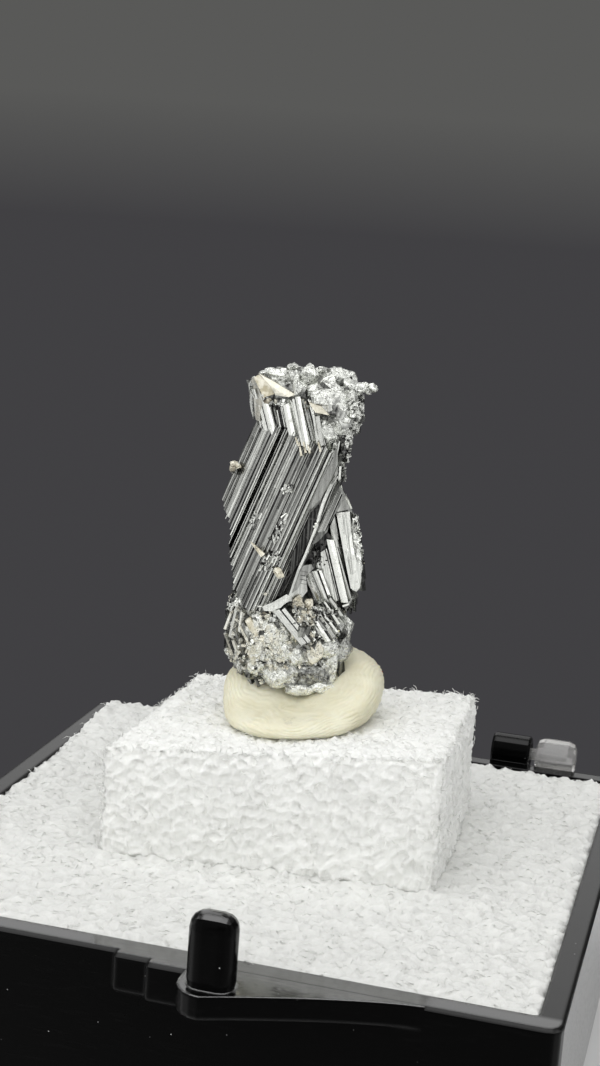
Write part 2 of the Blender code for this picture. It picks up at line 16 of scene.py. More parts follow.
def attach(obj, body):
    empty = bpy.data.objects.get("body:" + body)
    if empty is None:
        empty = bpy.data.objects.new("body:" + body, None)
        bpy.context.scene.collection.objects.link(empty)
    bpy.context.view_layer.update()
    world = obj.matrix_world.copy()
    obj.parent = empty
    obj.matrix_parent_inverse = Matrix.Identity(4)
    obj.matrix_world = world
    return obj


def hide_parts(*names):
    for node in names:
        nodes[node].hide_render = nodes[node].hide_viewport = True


MM = 0.001
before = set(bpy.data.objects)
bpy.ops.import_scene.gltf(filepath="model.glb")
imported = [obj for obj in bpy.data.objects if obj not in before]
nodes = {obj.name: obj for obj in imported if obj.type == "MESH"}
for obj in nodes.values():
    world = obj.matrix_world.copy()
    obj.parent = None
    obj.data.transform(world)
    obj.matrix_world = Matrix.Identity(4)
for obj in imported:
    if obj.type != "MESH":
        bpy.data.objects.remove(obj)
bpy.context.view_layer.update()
dice = random.Random(11)
noise.seed_set(11)               # unseeded, noise_vector would differ from run to run

# Box base and foam, mm
RIM = 9.6                       # height of the base's rim
LINER_FOOT = 1.6                # height of the foam's underside
INNER = 14.8                    # from the middle to the inside of a wall
BLOCK_CORNERS = ((-7.6, -6.1, 5.15), (8.5, -4.35, 6.5), (7.95, 7.7, 6.1), (-7.15, 7.3, 5.25))
PUTTY_CENTRE = (0.25, 0.85)
PUTTY_RADII = (3.92, 4.45)
PUTTY_FRONT, PUTTY_SIDES = 1.3, 3.35
PUTTY_SMUDGE = (0.72, -2.8, 16.0)
PRESS_LINES = 34.0              # radians of the press lines' wave per mm

# Crystal frame, mm and degrees
CRYSTAL_PLACE = Vector((-0.5, 1.0, RIM + 7.0))
CRYSTAL_TURN = 14.3
BODY_LEAN = 20.0
PIECE_SEED = 40                 # each piece of the crystal has its own random draws
BODY_TONES = (0.2, 0.32, 0.45, 0.6, 0.74)
CAP_TONES = (0.45, 0.6, 0.74, 0.86, 0.97)
DARKEST = 0.03                  # a facet of a lower tone is painted black, as shade in a gap
PAINTED_SEAM_SHADE = 0.0                 # black painted into a gap between facets, as its shade
GOLDEN_TURN = 2.399963          # radians between neighbours that spread evenly over a ball
BODY_SHADES, CAP_SHADES = 3, 8  # seeds of the facets' tones
CAP_LEAN = -17.9
PLACE = Matrix.Translation(CRYSTAL_PLACE) @ Matrix.Rotation(math.radians(CRYSTAL_TURN), 4, "Z")

# Camera
EYE = Vector((20.68, -82.47, 43.05))
YAW, PITCH, ROLL = -14.26, 12.08, 4.05
LENS, SENSOR = 61.0, 36.0

# Soft boxes: name, azimuth, elevation, distance, size and radiance
LIGHTS = (
    ("top_box", 0, 78, 260, (330, 260), 2.0),
    ("front_top_box", 14, 42, 300, (260, 120), 1.5),
    ("left_front_box", -34, 12, 280, (200, 300), 1.4),
    ("left_box", -78, 14, 240, (110, 330), 1.5),
    ("right_front_box", 44, 12, 290, (130, 280), 1.15),
    ("right_box", 84, 14, 260, (120, 330), 1.3),
    ("bounce_card", 10, -8, 260, (420, 120), 1.05),
    ("back_box", 190, 30, 300, (260, 200), 0.8),
)


# ---------------------------------------------------------------- materials

class Finish:
    """A material under construction: its nodes are added and joined one by one."""

    def __init__(self, name):
        self.made = bpy.data.materials.new(name)
        self.made.use_nodes = True
        self.tree = self.made.node_tree
        self.shader = self.tree.nodes["Principled BSDF"]

    def add(self, kind, settings=None, **inputs):
        node = self.tree.nodes.new(kind)
        for key, value in (settings or {}).items():
            setattr(node, key, value)
        for key, value in inputs.items():
            self.put(node.inputs[key.replace("_", " ")], value)
        return node

    def put(self, socket, value):
        if isinstance(value, bpy.types.NodeSocket):
            self.tree.links.new(value, socket)
        else:
            socket.default_value = value

    def set(self, **inputs):
        for key, value in inputs.items():
            self.put(self.shader.inputs[key.replace("_", " ")], value)

    def mix(self, factor, low, high):
        node = self.add("ShaderNodeMix", {"data_type": "RGBA"})
        self.put(node.inputs["Factor"], factor)
        self.put(node.inputs[6], low)
        self.put(node.inputs[7], high)
        return node.outputs[2]

    def maths(self, operation, first, second=0.0, clamp=False):
        node = self.add("ShaderNodeMath", {"operation": operation, "use_clamp": clamp})
        self.put(node.inputs[0], first)
        self.put(node.inputs[1], second)
        return node.outputs[0]

    def span(self, value, low, high, to_low=0.0, to_high=1.0):
        node = self.add("ShaderNodeMapRange", {"clamp": True})
        for place, item in enumerate((value, low, high, to_low, to_high)):
            self.put(node.inputs[place], item)
        return node.outputs[0]

    def attribute(self, name, output="Fac"):
        return self.add("ShaderNodeAttribute", {"attribute_name": name}).outputs[output]

    def position(self, scale=(1000.0, 1000.0, 1000.0), turn=(0.0, 0.0, 0.0)):
        """Object coordinates in mm, or stretched along an axis."""
        here = self.add("ShaderNodeTexCoord").outputs["Object"]
        moved = self.add("ShaderNodeMapping", Vector=here, Rotation=turn, Scale=scale)
        return moved.outputs["Vector"]

    def grain(self, vector, scale, detail=4.0, roughness=0.6):
        node = self.add("ShaderNodeTexNoise", Vector=vector, Scale=scale, Detail=detail,
                        Roughness=roughness)
        return node.outputs["Fac"]

    def cells(self, vector, scale, feature="F1"):
        node = self.add("ShaderNodeTexVoronoi", {"feature": feature}, Vector=vector, Scale=scale)
        return node.outputs["Distance"]

    def bump(self, height, strength, distance):
        node = self.add("ShaderNodeBump", Height=height, Strength=strength, Distance=distance)
        self.put(self.shader.inputs["Normal"], node.outputs["Normal"])


def grey(level, warm=0.0):
    """A grey in linear light, a little warm or, below zero, a little cool."""
    return (level * (1 + warm), level, level * (1 - 1.6 * warm), 1.0)


def creases(look, run, scale, detail):
    """0 along wandering lines over a surface and up to a half between them."""
    return look.maths("ABSOLUTE", look.maths("SUBTRACT", look.grain(run, scale, detail, 0.6), 0.5))


def metal_finish(name, vector_of, metallic=1.0, rough_low=0.14, rough_high=0.36, solid=False, grains=False):
    """Steel grey crystal faces: each crystal has its tone, with fine lines along it or small grains with
    painted shade in the creases between them.
    """
    look = Finish(name)
    run = vector_of(look)
    tone = look.span(look.grain(run, 1.4, 3.0), 0.35, 0.65, 0.05, 0.45) if solid else look.attribute("tone")
    tint = look.attribute("cream")
    lines = look.grain(look.add("ShaderNodeMapping", Vector=run, Scale=(1.0, 1.0, 0.03)).outputs[0], 7.0,
        2.0, 0.6)
    spots = look.grain(run, 3.2, 3.0, 0.6)
    worn = look.span(spots, 0.52, 0.78, 0.0, 0.45)
    if grains:
        large, small = creases(look, run, 2.0, 3.0), creases(look, run, 5.0, 1.0)
        tone = look.maths("ADD", tone, look.span(look.grain(run, 3.0, 3.0, 0.6), 0.35, 0.65, 0.0, 0.3),
            clamp=True)
        # painted shade: near black along the creases, which the bump below makes into grooves
        dark = look.maths("MULTIPLY", look.span(large, 0.0, 0.02, 0.15, 1.0),
            look.span(small, 0.0, 0.02, 0.65, 1.0))
    lit = look.maths("ADD", tone, look.span(lines, 0.3, 0.7, -0.16, 0.16), clamp=True)
    steel = look.mix(lit, grey(0.018), (0.875, 0.89, 0.84, 1.0))
    steel = look.mix(worn, steel, grey(0.24, 0.03))
    earth = look.mix(look.span(spots, 0.35, 0.65), (0.52, 0.47, 0.33, 1.0), (0.93, 0.9, 0.78, 1.0))
    earth = look.mix(look.span(tone, 0.0, 0.8), (0.16, 0.13, 0.08, 1.0), earth)
    share = look.maths("ADD", tint, look.span(spots, 0.4, 0.7, -0.12, 0.12), clamp=True)
    share = look.span(share, 0.3, 0.7, 0.0, 1.0)
    colour = look.mix(share, steel, earth)
    if grains:
        # the painted shade in the creases
        colour = look.mix(dark, (0.03, 0.028, 0.022, 1.0), colour)
    look.set(Base_Color=colour)
    look.set(Metallic=look.span(share, 0.0, 1.0, metallic, 0.15))
    rough = look.maths("ADD", look.span(spots, 0.3, 0.8, rough_low, rough_high),
        look.maths("MULTIPLY", share, 0.3))
    look.set(Roughness=rough)
    height = look.maths("ADD", look.maths("MULTIPLY", lines, 0.7), look.maths("MULTIPLY", spots, 0.3))
    if grains:
        height = look.maths("ADD", look.maths("MINIMUM", large, 0.1), look.maths("MULTIPLY", small, 0.3))
        look.bump(height, 0.42, 0.0004)
    else:
        look.bump(height, 0.2, 0.00003)
    return look.made


def foam_white(level):
    """A white that is a little green, in linear light."""
    return (level, level * 1.006, level * 0.975, 1.0)


def foam_finish(name, level, cell_scale):
    """Matte white foam with painted shade in its pores, and a little translucent."""
    look = Finish(name)
    here = look.position()
    cell = look.cells(here, cell_scale)
    pore_shade = look.attribute("pore_shade")
    fine = look.grain(here, 3.0, 5.0)
    pale = look.mix(look.span(cell, 0.1, 0.7), foam_white(level * 0.93), foam_white(level))
    pale = look.mix(look.span(fine, 0.4, 0.75, 0.0, 0.5), pale, foam_white(level * 1.03))
    # painted shade in the pores, from the vertex attribute
    look.set(Base_Color=look.mix(pore_shade, pale, foam_white(level * 0.9)))
    look.set(Roughness=0.85)
    look.set(Specular_IOR_Level=0.25)
    look.set(Subsurface_Weight=0.35)
    look.set(Subsurface_Radius=(1.0, 1.0, 1.0))
    look.set(Subsurface_Scale=0.0004)
    look.bump(look.grain(here, 9.0, 4.0), 0.5, 0.00008)
    return look.made


def putty_finish():
    """Cream putty with pale patches, press lines and one smudge."""
    look = Finish("putty_cream")
    here = look.position()
    patches = look.grain(here, 0.45, 3.0)
    fine = look.grain(here, 4.0, 6.0, 0.7)
    ends = look.span(look.maths("ADD", patches, look.maths("MULTIPLY", fine, 0.4)), 0.45, 0.9)
    cream = look.mix(ends, (0.68, 0.645, 0.47, 1.0), (0.8, 0.78, 0.63, 1.0))
    cream = look.mix(look.attribute("press"), cream, (0.6, 0.56, 0.38, 1.0))
    smudge = look.attribute("smudge")
    specks = look.maths("MULTIPLY", smudge, look.span(fine, 0.47, 0.62), clamp=True)
    look.set(Base_Color=look.mix(specks, cream, (0.2, 0.2, 0.17, 1.0)))
    look.set(Roughness=look.span(fine, 0.3, 0.7, 0.42, 0.62))
    look.set(Subsurface_Weight=0.3)
    look.set(Subsurface_Radius=(1.0, 0.8, 0.5))
    look.set(Subsurface_Scale=0.0006)
    look.bump(fine, 0.35, 0.00005)
    return look.made


def black_finish():
    """Glossy black polystyrene with dust and fine scuffs; its reflection is a painted sheen, dimmed on
    upright walls and raised on upward faces at the front.
    """
    look = Finish("black_polystyrene")
    here = look.position()
    dust = look.cells(here, 1.7)
    patch = look.grain(here, 0.5, 3.0)
    speck = look.maths("MULTIPLY", look.span(dust, 0.035, 0.06, 1.0, 0.0), look.span(patch, 0.5, 0.62))
    scuff = look.grain(look.add("ShaderNodeMapping", Vector=here, Scale=(0.4, 3.0, 3.0)).outputs[0], 2.0,
        6.0, 0.7)
    colour = look.mix(look.span(scuff, 0.55, 0.8, 0.0, 0.5), grey(0.0012), grey(0.005))
    look.set(Base_Color=look.mix(speck, colour, grey(0.45)))
    look.set(Roughness=look.maths("ADD", look.span(scuff, 0.45, 0.8, 0.07, 0.24), speck))
    # painted sheen: the specular tint dims the reflection on upright walls
    facing = look.add("ShaderNodeSeparateXYZ", Vector=look.add("ShaderNodeNewGeometry").outputs["Normal"])
    level = look.span(facing.outputs["Z"], 0.6, 0.95)
    look.set(Specular_Tint=look.mix(level, grey(0.05), grey(1.0)))
    # painted sheen: a higher IOR brightens the reflection on upward faces at the front edge
    place = look.add("ShaderNodeSeparateXYZ", Vector=here).outputs["Y"]
    front = look.maths("MULTIPLY", look.span(place, -15.0, -14.7, 1.0, 0.0), level)
    look.set(IOR=look.span(front, 0.0, 1.0, 1.42, 2.5))
    look.bump(patch, 0.12, 0.00006)
    soft = look.add("ShaderNodeBevel", {"samples": 6})
    soft.inputs["Radius"].default_value = 0.00025
    relief = look.shader.inputs["Normal"].links[0].from_node
    look.put(relief.inputs["Normal"], soft.outputs["Normal"])
    return look.made


def clear_finish():
    """Clear plastic with faint clouds in its polish."""
    look = Finish("clear_polystyrene")
    here = look.position()
    cloud = look.grain(here, 1.2, 3.0)
    look.set(Roughness=look.span(cloud, 0.35, 0.7, 0.05, 0.22))
    look.set(Base_Color=(0.93, 0.92, 0.9, 1.0))
    look.set(Transmission_Weight=0.85)
    look.set(IOR=1.58)
    return look.made


def floor_finish():
    """A matte pale floor."""
    look = Finish("pale_floor")
    cloud = look.grain(look.position((8.0, 8.0, 8.0)), 1.0, 2.0)
    look.set(Base_Color=look.mix(cloud, grey(0.8), grey(0.84)))
    look.set(Roughness=0.7)
    return look.made


# ---------------------------------------------------------------- meshes

def new_piece(name, verts, faces, finish, smooth=False):
    """Verts in mm become a piece that rides with the specimen."""
    mesh = bpy.data.meshes.new(name)
    mesh.from_pydata((np.asarray(verts, float) * MM).tolist(), [], faces)
    mesh.materials.append(finish)
    if smooth:
        mesh.shade_smooth()
    else:
        mesh.shade_flat()
    mesh.update()
    made = bpy.data.objects.new(name, mesh)
    bpy.context.scene.collection.objects.link(made)
    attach(made, "root")
    return made


class Cluster:
    """Crystals gathered into one mesh. Each keeps its tone, its cream share and a frame of its own."""

    def __init__(self, name):
        self.name = name
        self.verts, self.faces = [], []
        self.runs, self.tones, self.creams, self.flats = [], [], [], []

    def add(self, verts, faces, tone, cream=0.0, runs=None, smooth=False):
        start = len(self.verts)
        self.verts += [tuple(v) for v in verts]
        self.runs += [tuple(v) for v in (runs or verts)]
        self.faces += [[start + i for i in face] for face in faces]
        tones = tone if isinstance(tone, (list, tuple)) else [tone] * len(faces)
        self.tones += tones
        self.creams += cream if isinstance(cream, list) else [cream] * len(faces)
        self.flats += [not smooth] * len(faces)

    def build(self, finish):
        placed = [PLACE @ Vector(v) for v in self.verts]
        made = new_piece(self.name, placed, self.faces, finish, smooth=True)
        mesh = made.data
        mesh.attributes.new("sharp_face", "BOOLEAN", "FACE").data.foreach_set("value", self.flats)
        mesh.attributes.new("tone", "FLOAT", "FACE").data.foreach_set("value", self.tones)
        mesh.attributes.new("cream", "FLOAT", "FACE").data.foreach_set("value", self.creams)
        flat = np.asarray(self.runs, float).ravel()
        mesh.attributes.new("run", "FLOAT_VECTOR", "POINT").data.foreach_set("vector", flat)
        return made


def leaning(across, z, lean, y):
    """The point at height z on a line that leans by some degrees and passes through x = across/cos."""
    angle = math.radians(lean)
    return Vector(((across + z * math.sin(angle)) / math.cos(angle), y, z))


def bar(cluster, foot, head, outline, tones, cream=0.0, foot_cut=0.0, head_cut=0.0, taper=1.0):
    """A straight crystal: an outline of (across, into the depth) points carried from foot to head."""
    foot, head = Vector(foot), Vector(head)
    axis = (head - foot).normalized()
    back = Vector((0, 1, 0))
    back = (back - axis * back.dot(axis)).normalized()
    right = back.cross(axis)
    length = (head - foot).length
    verts, runs = [], []
    shift = Vector((dice.uniform(0, 40), dice.uniform(0, 40), dice.uniform(0, 40)))
    for end, size, cut in ((foot, 1.0, foot_cut), (head, taper, head_cut)):
        along = 0.0 if end is foot else length
        for x, y in outline:
            verts.append(end + right * x * size + back * y * size + axis * cut * x)
            runs.append(shift + Vector((x * size, y * size, along + cut * x)))
    count = len(outline)
    faces = [[i, (i + 1) % count, count + (i + 1) % count, count + i] for i in range(count)]
    faces.append(list(range(count))[::-1])
    faces.append(list(range(count, 2 * count)))
    if not isinstance(tones, (list, tuple)):
        tones = [tones] * count
    cluster.add(verts, faces, list(tones) + [0.7, 0.8], cream, runs)


def lath(cluster, foot, head, width, depth, turn=0.0, tone=0.6, cream=0.0, foot_cut=0.0, head_cut=0.0,
         taper=1.0, lines=3):
    """A striated crystal: its front is a row of narrow facets, each with its own turn and tone."""
    half = width / 2
    turned = Matrix.Rotation(math.radians(turn), 2)
    edges = [-half + width * (i + dice.uniform(-0.25, 0.25) * (0 < i < lines)) / lines for i in
        range(lines + 1)]
    front = []
    for i, x in enumerate(edges):
        ridge = 0.0 if i in (0, lines) else dice.uniform(-0.22, 0.1) * width / lines
        swell = -0.14 * math.copysign(width, depth) * (1 - (x / half) ** 2)
        front.append(Vector((x, swell + ridge)))
    outline = front + [Vector((half, depth / 2)), Vector((0.0, depth * 0.75)), Vector((-half, depth / 2))]
    outline = [tuple(turned @ point) for point in outline]
    tones = [min(1.0, max(0.0, tone + dice.uniform(-0.25, 0.25))) for _ in range(lines)] + [tone * 0.7] * 4
    bar(cluster, foot, head, outline, tones[:len(outline)], cream, foot_cut, head_cut, taper)


def grain(cluster, centre, size, stretch=1.0, tone=None, cream=0.0):
    """A small blocky crystal turned at random."""
    sides = (size, size * dice.uniform(0.55, 1.0), size * stretch * dice.uniform(0.7, 1.3))
    turn = Matrix.Rotation(dice.uniform(0, math.tau), 3, "Z") @ Matrix.Rotation(dice.uniform(0, 3.1), 3,
        "X")
    verts = []
    for z in (-0.5, 0.5):
        narrow = 1.0 if z < 0 else dice.uniform(0.35, 0.8)
        for x, y in ((-0.5, -0.5), (0.5, -0.5), (0.5, 0.5), (-0.5, 0.5)):
            corner = Vector((x * sides[0] * narrow, y * sides[1] * narrow, z * sides[2]))
            verts.append(turn @ corner + Vector(centre))
    faces = [[0, 3, 2, 1], [4, 5, 6, 7], [0, 1, 5, 4], [1, 2, 6, 5], [2, 3, 7, 6], [3, 0, 4, 7]]
    cluster.add(verts, faces, dice.uniform(0.35, 1.0) if tone is None else tone, cream)


def lump(cluster, centre, radii, breaks, pits, tone, cream=0.0, level=4, turn=0.0, cell=0.15,
        cut=(0.55, 0.85)):
    """A blocky grain: an egg shape cut by flat breaks, with fine bumps and creases that are painted darker
    as shade.
    """
    ways, faces = ball(level)
    seed = Vector((dice.uniform(-30, 30), dice.uniform(-30, 30), dice.uniform(-30, 30)))
    spin = Matrix.Rotation(math.radians(turn), 3, "Y")
    planes = np.array([[dice.gauss(0, 1) for _ in range(3)] for _ in range(breaks)])
    planes /= np.linalg.norm(planes, axis=1)[:, None]
    limits = np.array([dice.uniform(*cut) for _ in range(breaks)])
    reach = np.minimum(1.0, (limits / np.maximum(ways @ planes.T, 0.08)).min(axis=1))
    placed, shades = [], []
    for way, spot in zip(ways, ways * reach[:, None] * np.array(radii)):
        here = Vector(spot)
        rough = noise.noise(here / (cell * 1.8) + seed) + 0.5 * noise.noise(here / (cell * 0.7) + seed)
        crease = max(0.0, 1.0 - abs(rough) / 0.14)
        placed.append(spin @ (here + Vector(way) * pits * (1.2 * rough - 0.9 * crease)) + Vector(centre))
        # tone varies at random and drops along the creases: painted shade
        shades.append(0.3 * noise.noise(here / (cell * 1.2) - seed) - 0.32 * crease)
    tones = [min(1.0, max(0.02, tone + shades[face[0]])) for face in faces]
    creams = [min(1.0, max(0.0, cream + 0.6 * shades[face[1]])) for face in faces] if cream > 0 else 0.0
    cluster.add(placed, faces, tones, creams)


BALLS = {}


def ball(level):
    """Vertices and triangles of a unit icosphere."""
    if level not in BALLS:
        bm = bmesh.new()
        bmesh.ops.create_icosphere(bm, subdivisions=level, radius=1.0)
        verts = np.array([tuple(vert.co) for vert in bm.verts])
        faces = [[vert.index for vert in face.verts] for face in bm.faces]
        bm.free()
        BALLS[level] = (verts, faces)
    return BALLS[level]


def grows(way, keep):
    """Whether grains grow that way: above three lowest shares, and left of a highest one."""
    lowest, right_end = keep
    return all(way[i] > lowest[i] for i in range(3)) and way.x < right_end


def clumps(cluster, centre, radii, count, low, high, keep, tone=0.8, cream=0.0):
    """Blocky grains spread over an egg-shaped mass, where keep lets them grow."""
    for number in range(count):
        z = 1 - 2 * (number + 0.5) / count
        ring = (1 - z * z) ** 0.5
        swing = number * GOLDEN_TURN + dice.uniform(-0.4, 0.4)
        way = Vector((ring * math.cos(swing), ring * math.sin(swing), z))
        if grows(way, keep):
            size = dice.uniform(low, high)
            place = [centre[i] + way[i] * (radii[i] - 0.5 * size) for i in range(3)]
            spread = (size, size * dice.uniform(0.6, 0.9), size * dice.uniform(0.6, 1.1))
            lump(cluster, place, [1.5 * side for side in spread], 9, 0.02, tone + dice.uniform(-0.25, 0.2),
                 cream * dice.random(), 3, dice.uniform(-60, 60), 0.13, (0.38, 0.75))


def crust(cluster, centre, radii, count, low, high, keep, cream=0.0):
    """Grains spread evenly over an egg-shaped mass, where keep lets them grow."""
    for number in range(count):
        z = 1 - 2 * (number + 0.5) / count
        ring = (1 - z * z) ** 0.5
        swing = number * GOLDEN_TURN
        way = Vector((ring * math.cos(swing), ring * math.sin(swing), z))
        if grows(way, keep):
            reach = dice.uniform(0.94, 1.06)
            place = [centre[i] + way[i] * radii[i] * reach for i in range(3)]
            grain(cluster, place, dice.uniform(low, high), dice.uniform(0.8, 1.5), None, cream)


# ---------------------------------------------------------------- striated body and its twin

def stripes(cluster, table, lean, foot_of, head_of, fine=0.07, glow=1.0):
    """Facets side by side across a leaning face, each split into fine lines; some narrow lines are set back
    as seams and painted black as their shade.

    The table's rows are where a facet starts across, its depth there and its tone; the next row
    ends it.
    """
    for (start, y0, tone), (end, y1, _) in zip(table, table[1:]):
        marks = [start]
        while marks[-1] < end - 0.02:
            marks.append(min(end, marks[-1] + fine * dice.choice((0.5, 0.7, 1.0, 1.5))))
        for left, right in zip(marks, marks[1:]):
            a = y0 + (y1 - y0) * (left - start) / (end - start)
            b = y0 + (y1 - y0) * (right - start) / (end - start)
            tip = dice.uniform(0.2, 0.8)
            width = right - left
            peak = width * dice.uniform(-0.15, 0.25)
            seam = width < fine and dice.random() < 0.28
            outline = [(-width / 2, a), (-width / 2 + width * tip, a + (b - a) * tip - peak),
                (width / 2, b), (width / 2, 1.0), (-width / 2, 1.0)]
            middle = (left + right) / 2
            low = foot_of(middle) + dice.uniform(-0.12, 0.12)
            high = head_of(middle) + dice.uniform(-0.1, 0.1)
            broken = [low]
            while broken[-1] < high - 1.2 and dice.random() < 0.75:
                broken.append(dice.uniform(broken[-1] + 0.5, high - 0.3))
            broken.append(high)
            for lower, upper in zip(broken, broken[1:]):
                push = dice.uniform(-0.03, 0.03) + (0.06 if seam else 0.0)
                shift = dice.uniform(-0.2, 0.14)
                # seams and facets below DARKEST are painted black: painted shade in the gaps
                shade = [PAINTED_SEAM_SHADE, PAINTED_SEAM_SHADE]
                if not seam and tone >= DARKEST:
                    middles = [glow * tone + shift + dice.uniform(-0.14, 0.14) for _ in shade]
                    shade = [min(1.0, max(0.0, level)) for level in middles]
                shifted = [(x, y + push) if y < 0.99 else (x, y) for x, y in outline]
                bar(cluster, leaning(middle, lower, lean, 0), leaning(middle, upper, lean, 0), shifted,
                    shade + [0.3, 0.3, 0.3], 0.0, dice.uniform(-0.8, 0.3), dice.uniform(-0.4, 0.4))


def shaded(edges, tones, seams, seed):
    """Rows for stripes from facets' edges: each facet gets a tone by chance, unlike its neighbour's; those
    listed in seams are painted black as shade in a crack.
    """
    shades = random.Random(seed)
    rows, last = [], None
    for start, y in edges:
        last = shades.choice([tone for tone in tones if tone != last])
        rows.append((start, y, PAINTED_SEAM_SHADE if start in seams else last))
    return rows


def body_foot(across):
    """Height where the body's lamellae end below: a chisel at the left, then steps down."""
    return np.interp(across, (-6.86, -6.7, -6.0, -5.65, -5.3, -5.0, -4.65, -3.7),
        (9.5, 9.1, 8.3, 7.25, 6.6, 6.1, 5.3, 4.4))


def body_head(across):
    """Height where the body ends above, under the twin."""
    return 13.45 - 0.33 * max(0.0, across + 6.1)


def flank_foot(across):
    """Height where the dark flank right of the body starts."""
    return 4.75 + 0.9 * (across + 3.0)


def flank_head(across):
    """Height where that flank ends."""
    return 9.6 - 2.2 * (across + 3.0)


def body(cluster):
    """The striated front of the body, and the dark flank at its right, whose last rows are painted black as
    shade.
    """
    edges = (
        (-6.92, -0.34), (-6.66, -0.62), (-6.52, -0.8), (-6.34, -0.98), (-6.22, -1.06), (-6.02, -1.14),
        (-5.9, -1.22), (-5.76, -1.3), (-5.66, -1.12), (-5.6, -1.34), (-5.48, -1.4), (-5.36, -1.4),
        (-5.26, -1.52), (-5.14, -1.56), (-4.98, -1.56), (-4.84, -1.56), (-4.66, -1.64), (-4.56, -1.66),
        (-4.46, -1.7), (-4.3, -1.66), (-4.06, -1.74), (-3.84, -1.8), (-3.74, -1.82), (-3.64, -1.82),
    )
    right_edge = [
        (-3.52, -1.84, 0.75), (-3.42, -1.9, 1.0), (-3.35, -1.86, 0.35), (-3.29, -1.92, 0.95),
        (-3.21, -1.88, 0.4), (-3.15, -1.9, 0.8), (-3.08, -1.86, 0.35), (-3.0, -1.8, 0.3),
    ]
    # the crack at -5.66 is painted black as shade
    front = shaded(edges, BODY_TONES, (-5.66,), BODY_SHADES) + right_edge
    stripes(cluster, front, BODY_LEAN, body_foot, body_head, 0.065, 0.86)
    # rows of tone 0.02 fall below DARKEST and are painted black as shade
    flank = ((-3.02, -1.8, 0.55), (-2.94, -1.78, 0.3), (-2.86, -1.8, 0.85), (-2.78, -1.76, 0.18),
        (-2.72, -1.78, 0.42), (-2.64, -1.76, 0.02), (-2.5, -1.72, 0.02), (-2.34, -1.66, 0.02),
        (-2.2, -1.62, 0.02),)
    stripes(cluster, flank, BODY_LEAN, flank_foot, flank_head, 0.05, 0.9)


def broken_ground(cluster):
    """Where the body's lines break up: small bright and black splinters in three places."""
    fields = ((-1.03, 8.58, 0.16, 0.66, -1.8, 90), (-1.28, 6.98, 0.34, 0.42, -1.86, 110),
        (-0.8, 10.5, 0.2, 0.14, -1.78, 30), (-2.42, 5.75, 0.42, 1.15, -1.4, 260),
        (-2.62, 5.2, 0.3, 1.0, -0.9, 160), (-2.2, 8.9, 0.16, 0.5, -1.5, 40),)
    for x, z, wide, tall, y, count in fields:
        for _ in range(count):
            across, up = dice.uniform(-wide, wide), dice.uniform(-tall, tall)
            place = Vector((x + across + 0.36 * up, y + dice.uniform(-0.06, 0.06), z + up))
            lean = math.radians(dice.gauss(20, 22))
            along = Vector((math.sin(lean), 0, math.cos(lean))) * dice.uniform(0.05, 0.17)
            lath(cluster, place - along, place + along, dice.uniform(0.05, 0.12), 0.25,
                dice.uniform(-35, 35), dice.choice((0.0, 0.0, 0.15, 0.5, 0.9, 1.0)), 0, 0, 0,
                dice.uniform(0.5, 1.0), 1)


def body_far_side(cluster):
    """The body's far side: laths of like width whose lengths step up and down."""
    for number in range(34):
        across = -6.75 + number * 0.128
        bulge = 1.0 - ((number - 17) / 24.0) ** 2
        low = body_foot(across) + dice.uniform(0.5, 1.5)
        high = 13.1 - number * 0.025 + dice.uniform(-0.8, 0.2)
        y = 1.5 * bulge + dice.uniform(-0.12, 0.12)
        foot, head = leaning(across, low, BODY_LEAN, y - 0.25), leaning(across, high, BODY_LEAN, y - 0.25)
        lath(cluster, foot, head, 0.2, -0.6, dice.uniform(-25, 25), dice.uniform(0.2, 0.9), 0.0,
             dice.uniform(-0.8, 0.2), dice.uniform(-0.5, 0.5), 1.0, 2)


def cap_low(across):
    """The twin's lamellae meet the body along a line that falls to the right."""
    return 13.25 - 0.42 * (across - 1.9) if across < 4.0 else 12.15


def cap_high(across):
    """Height where the twin ends, below the crown."""
    return 15.1 - 0.5 * (across - 1.7) if across < 2.7 else 14.45 + 0.2 * (across - 2.7)


def cap(cluster):
    """The striated front of the twin, and its broader bright laths."""
    edges = (
        (1.82, -0.35), (1.9, -0.7), (1.98, -0.78), (2.14, -0.96), (2.26, -1.08), (2.44, -1.12),
        (2.64, -1.16), (2.73, -1.06), (2.84, -1.16), (3.02, -1.12), (3.14, -1.32), (3.44, -1.4),
        (3.56, -1.34), (3.62, -1.52), (3.74, -1.5), (3.84, -1.6), (4.1, -1.66), (4.2, -1.52),
        (4.44, -1.46), (4.62, -1.46), (4.76, -1.38), (4.98, -1.14),
    )
    # the seams at 2.64 and 2.84 are painted black as shade
    front = shaded(edges, CAP_TONES, (2.64, 2.84), CAP_SHADES)
    stripes(cluster, front, CAP_LEAN, cap_low, cap_high, 0.08, 1.15)
    broad = (
        (-0.6, 14.92, 0.02, 12.42, -1.76, 0.25, 1.0), (-0.8, 14.8, -0.2, 12.6, -1.7, 0.1, 0.75),
        (-1.12, 14.5, -0.72, 13.0, -1.52, 0.3, 0.92), (0.4, 14.05, 0.7, 12.66, -1.62, 0.2, 1.0),
        (0.2, 14.1, 0.5, 12.7, -1.6, 0.1, 0.7), (-2.08, 14.42, -1.62, 13.0, -1.14, 0.24, 0.9),
        (-1.53, 14.15, -1.32, 13.36, -1.3, 0.05, 1.0), (-1.36, 14.3, -1.1, 13.36, -1.26, 0.05, 0.9),
        (-2.36, 14.3, -1.98, 13.1, -1.02, 0.14, 0.7),
    )
    for head_x, head_z, foot_x, foot_z, y, width, tone in broad:
        lath(cluster, (foot_x, y, foot_z), (head_x, y, head_z), width, 0.3, dice.uniform(-4, 2), tone, 0,
             dice.uniform(-0.5, 0.5), dice.uniform(-0.3, 0.3), 1.0, 2 if width > 0.2 else 1)


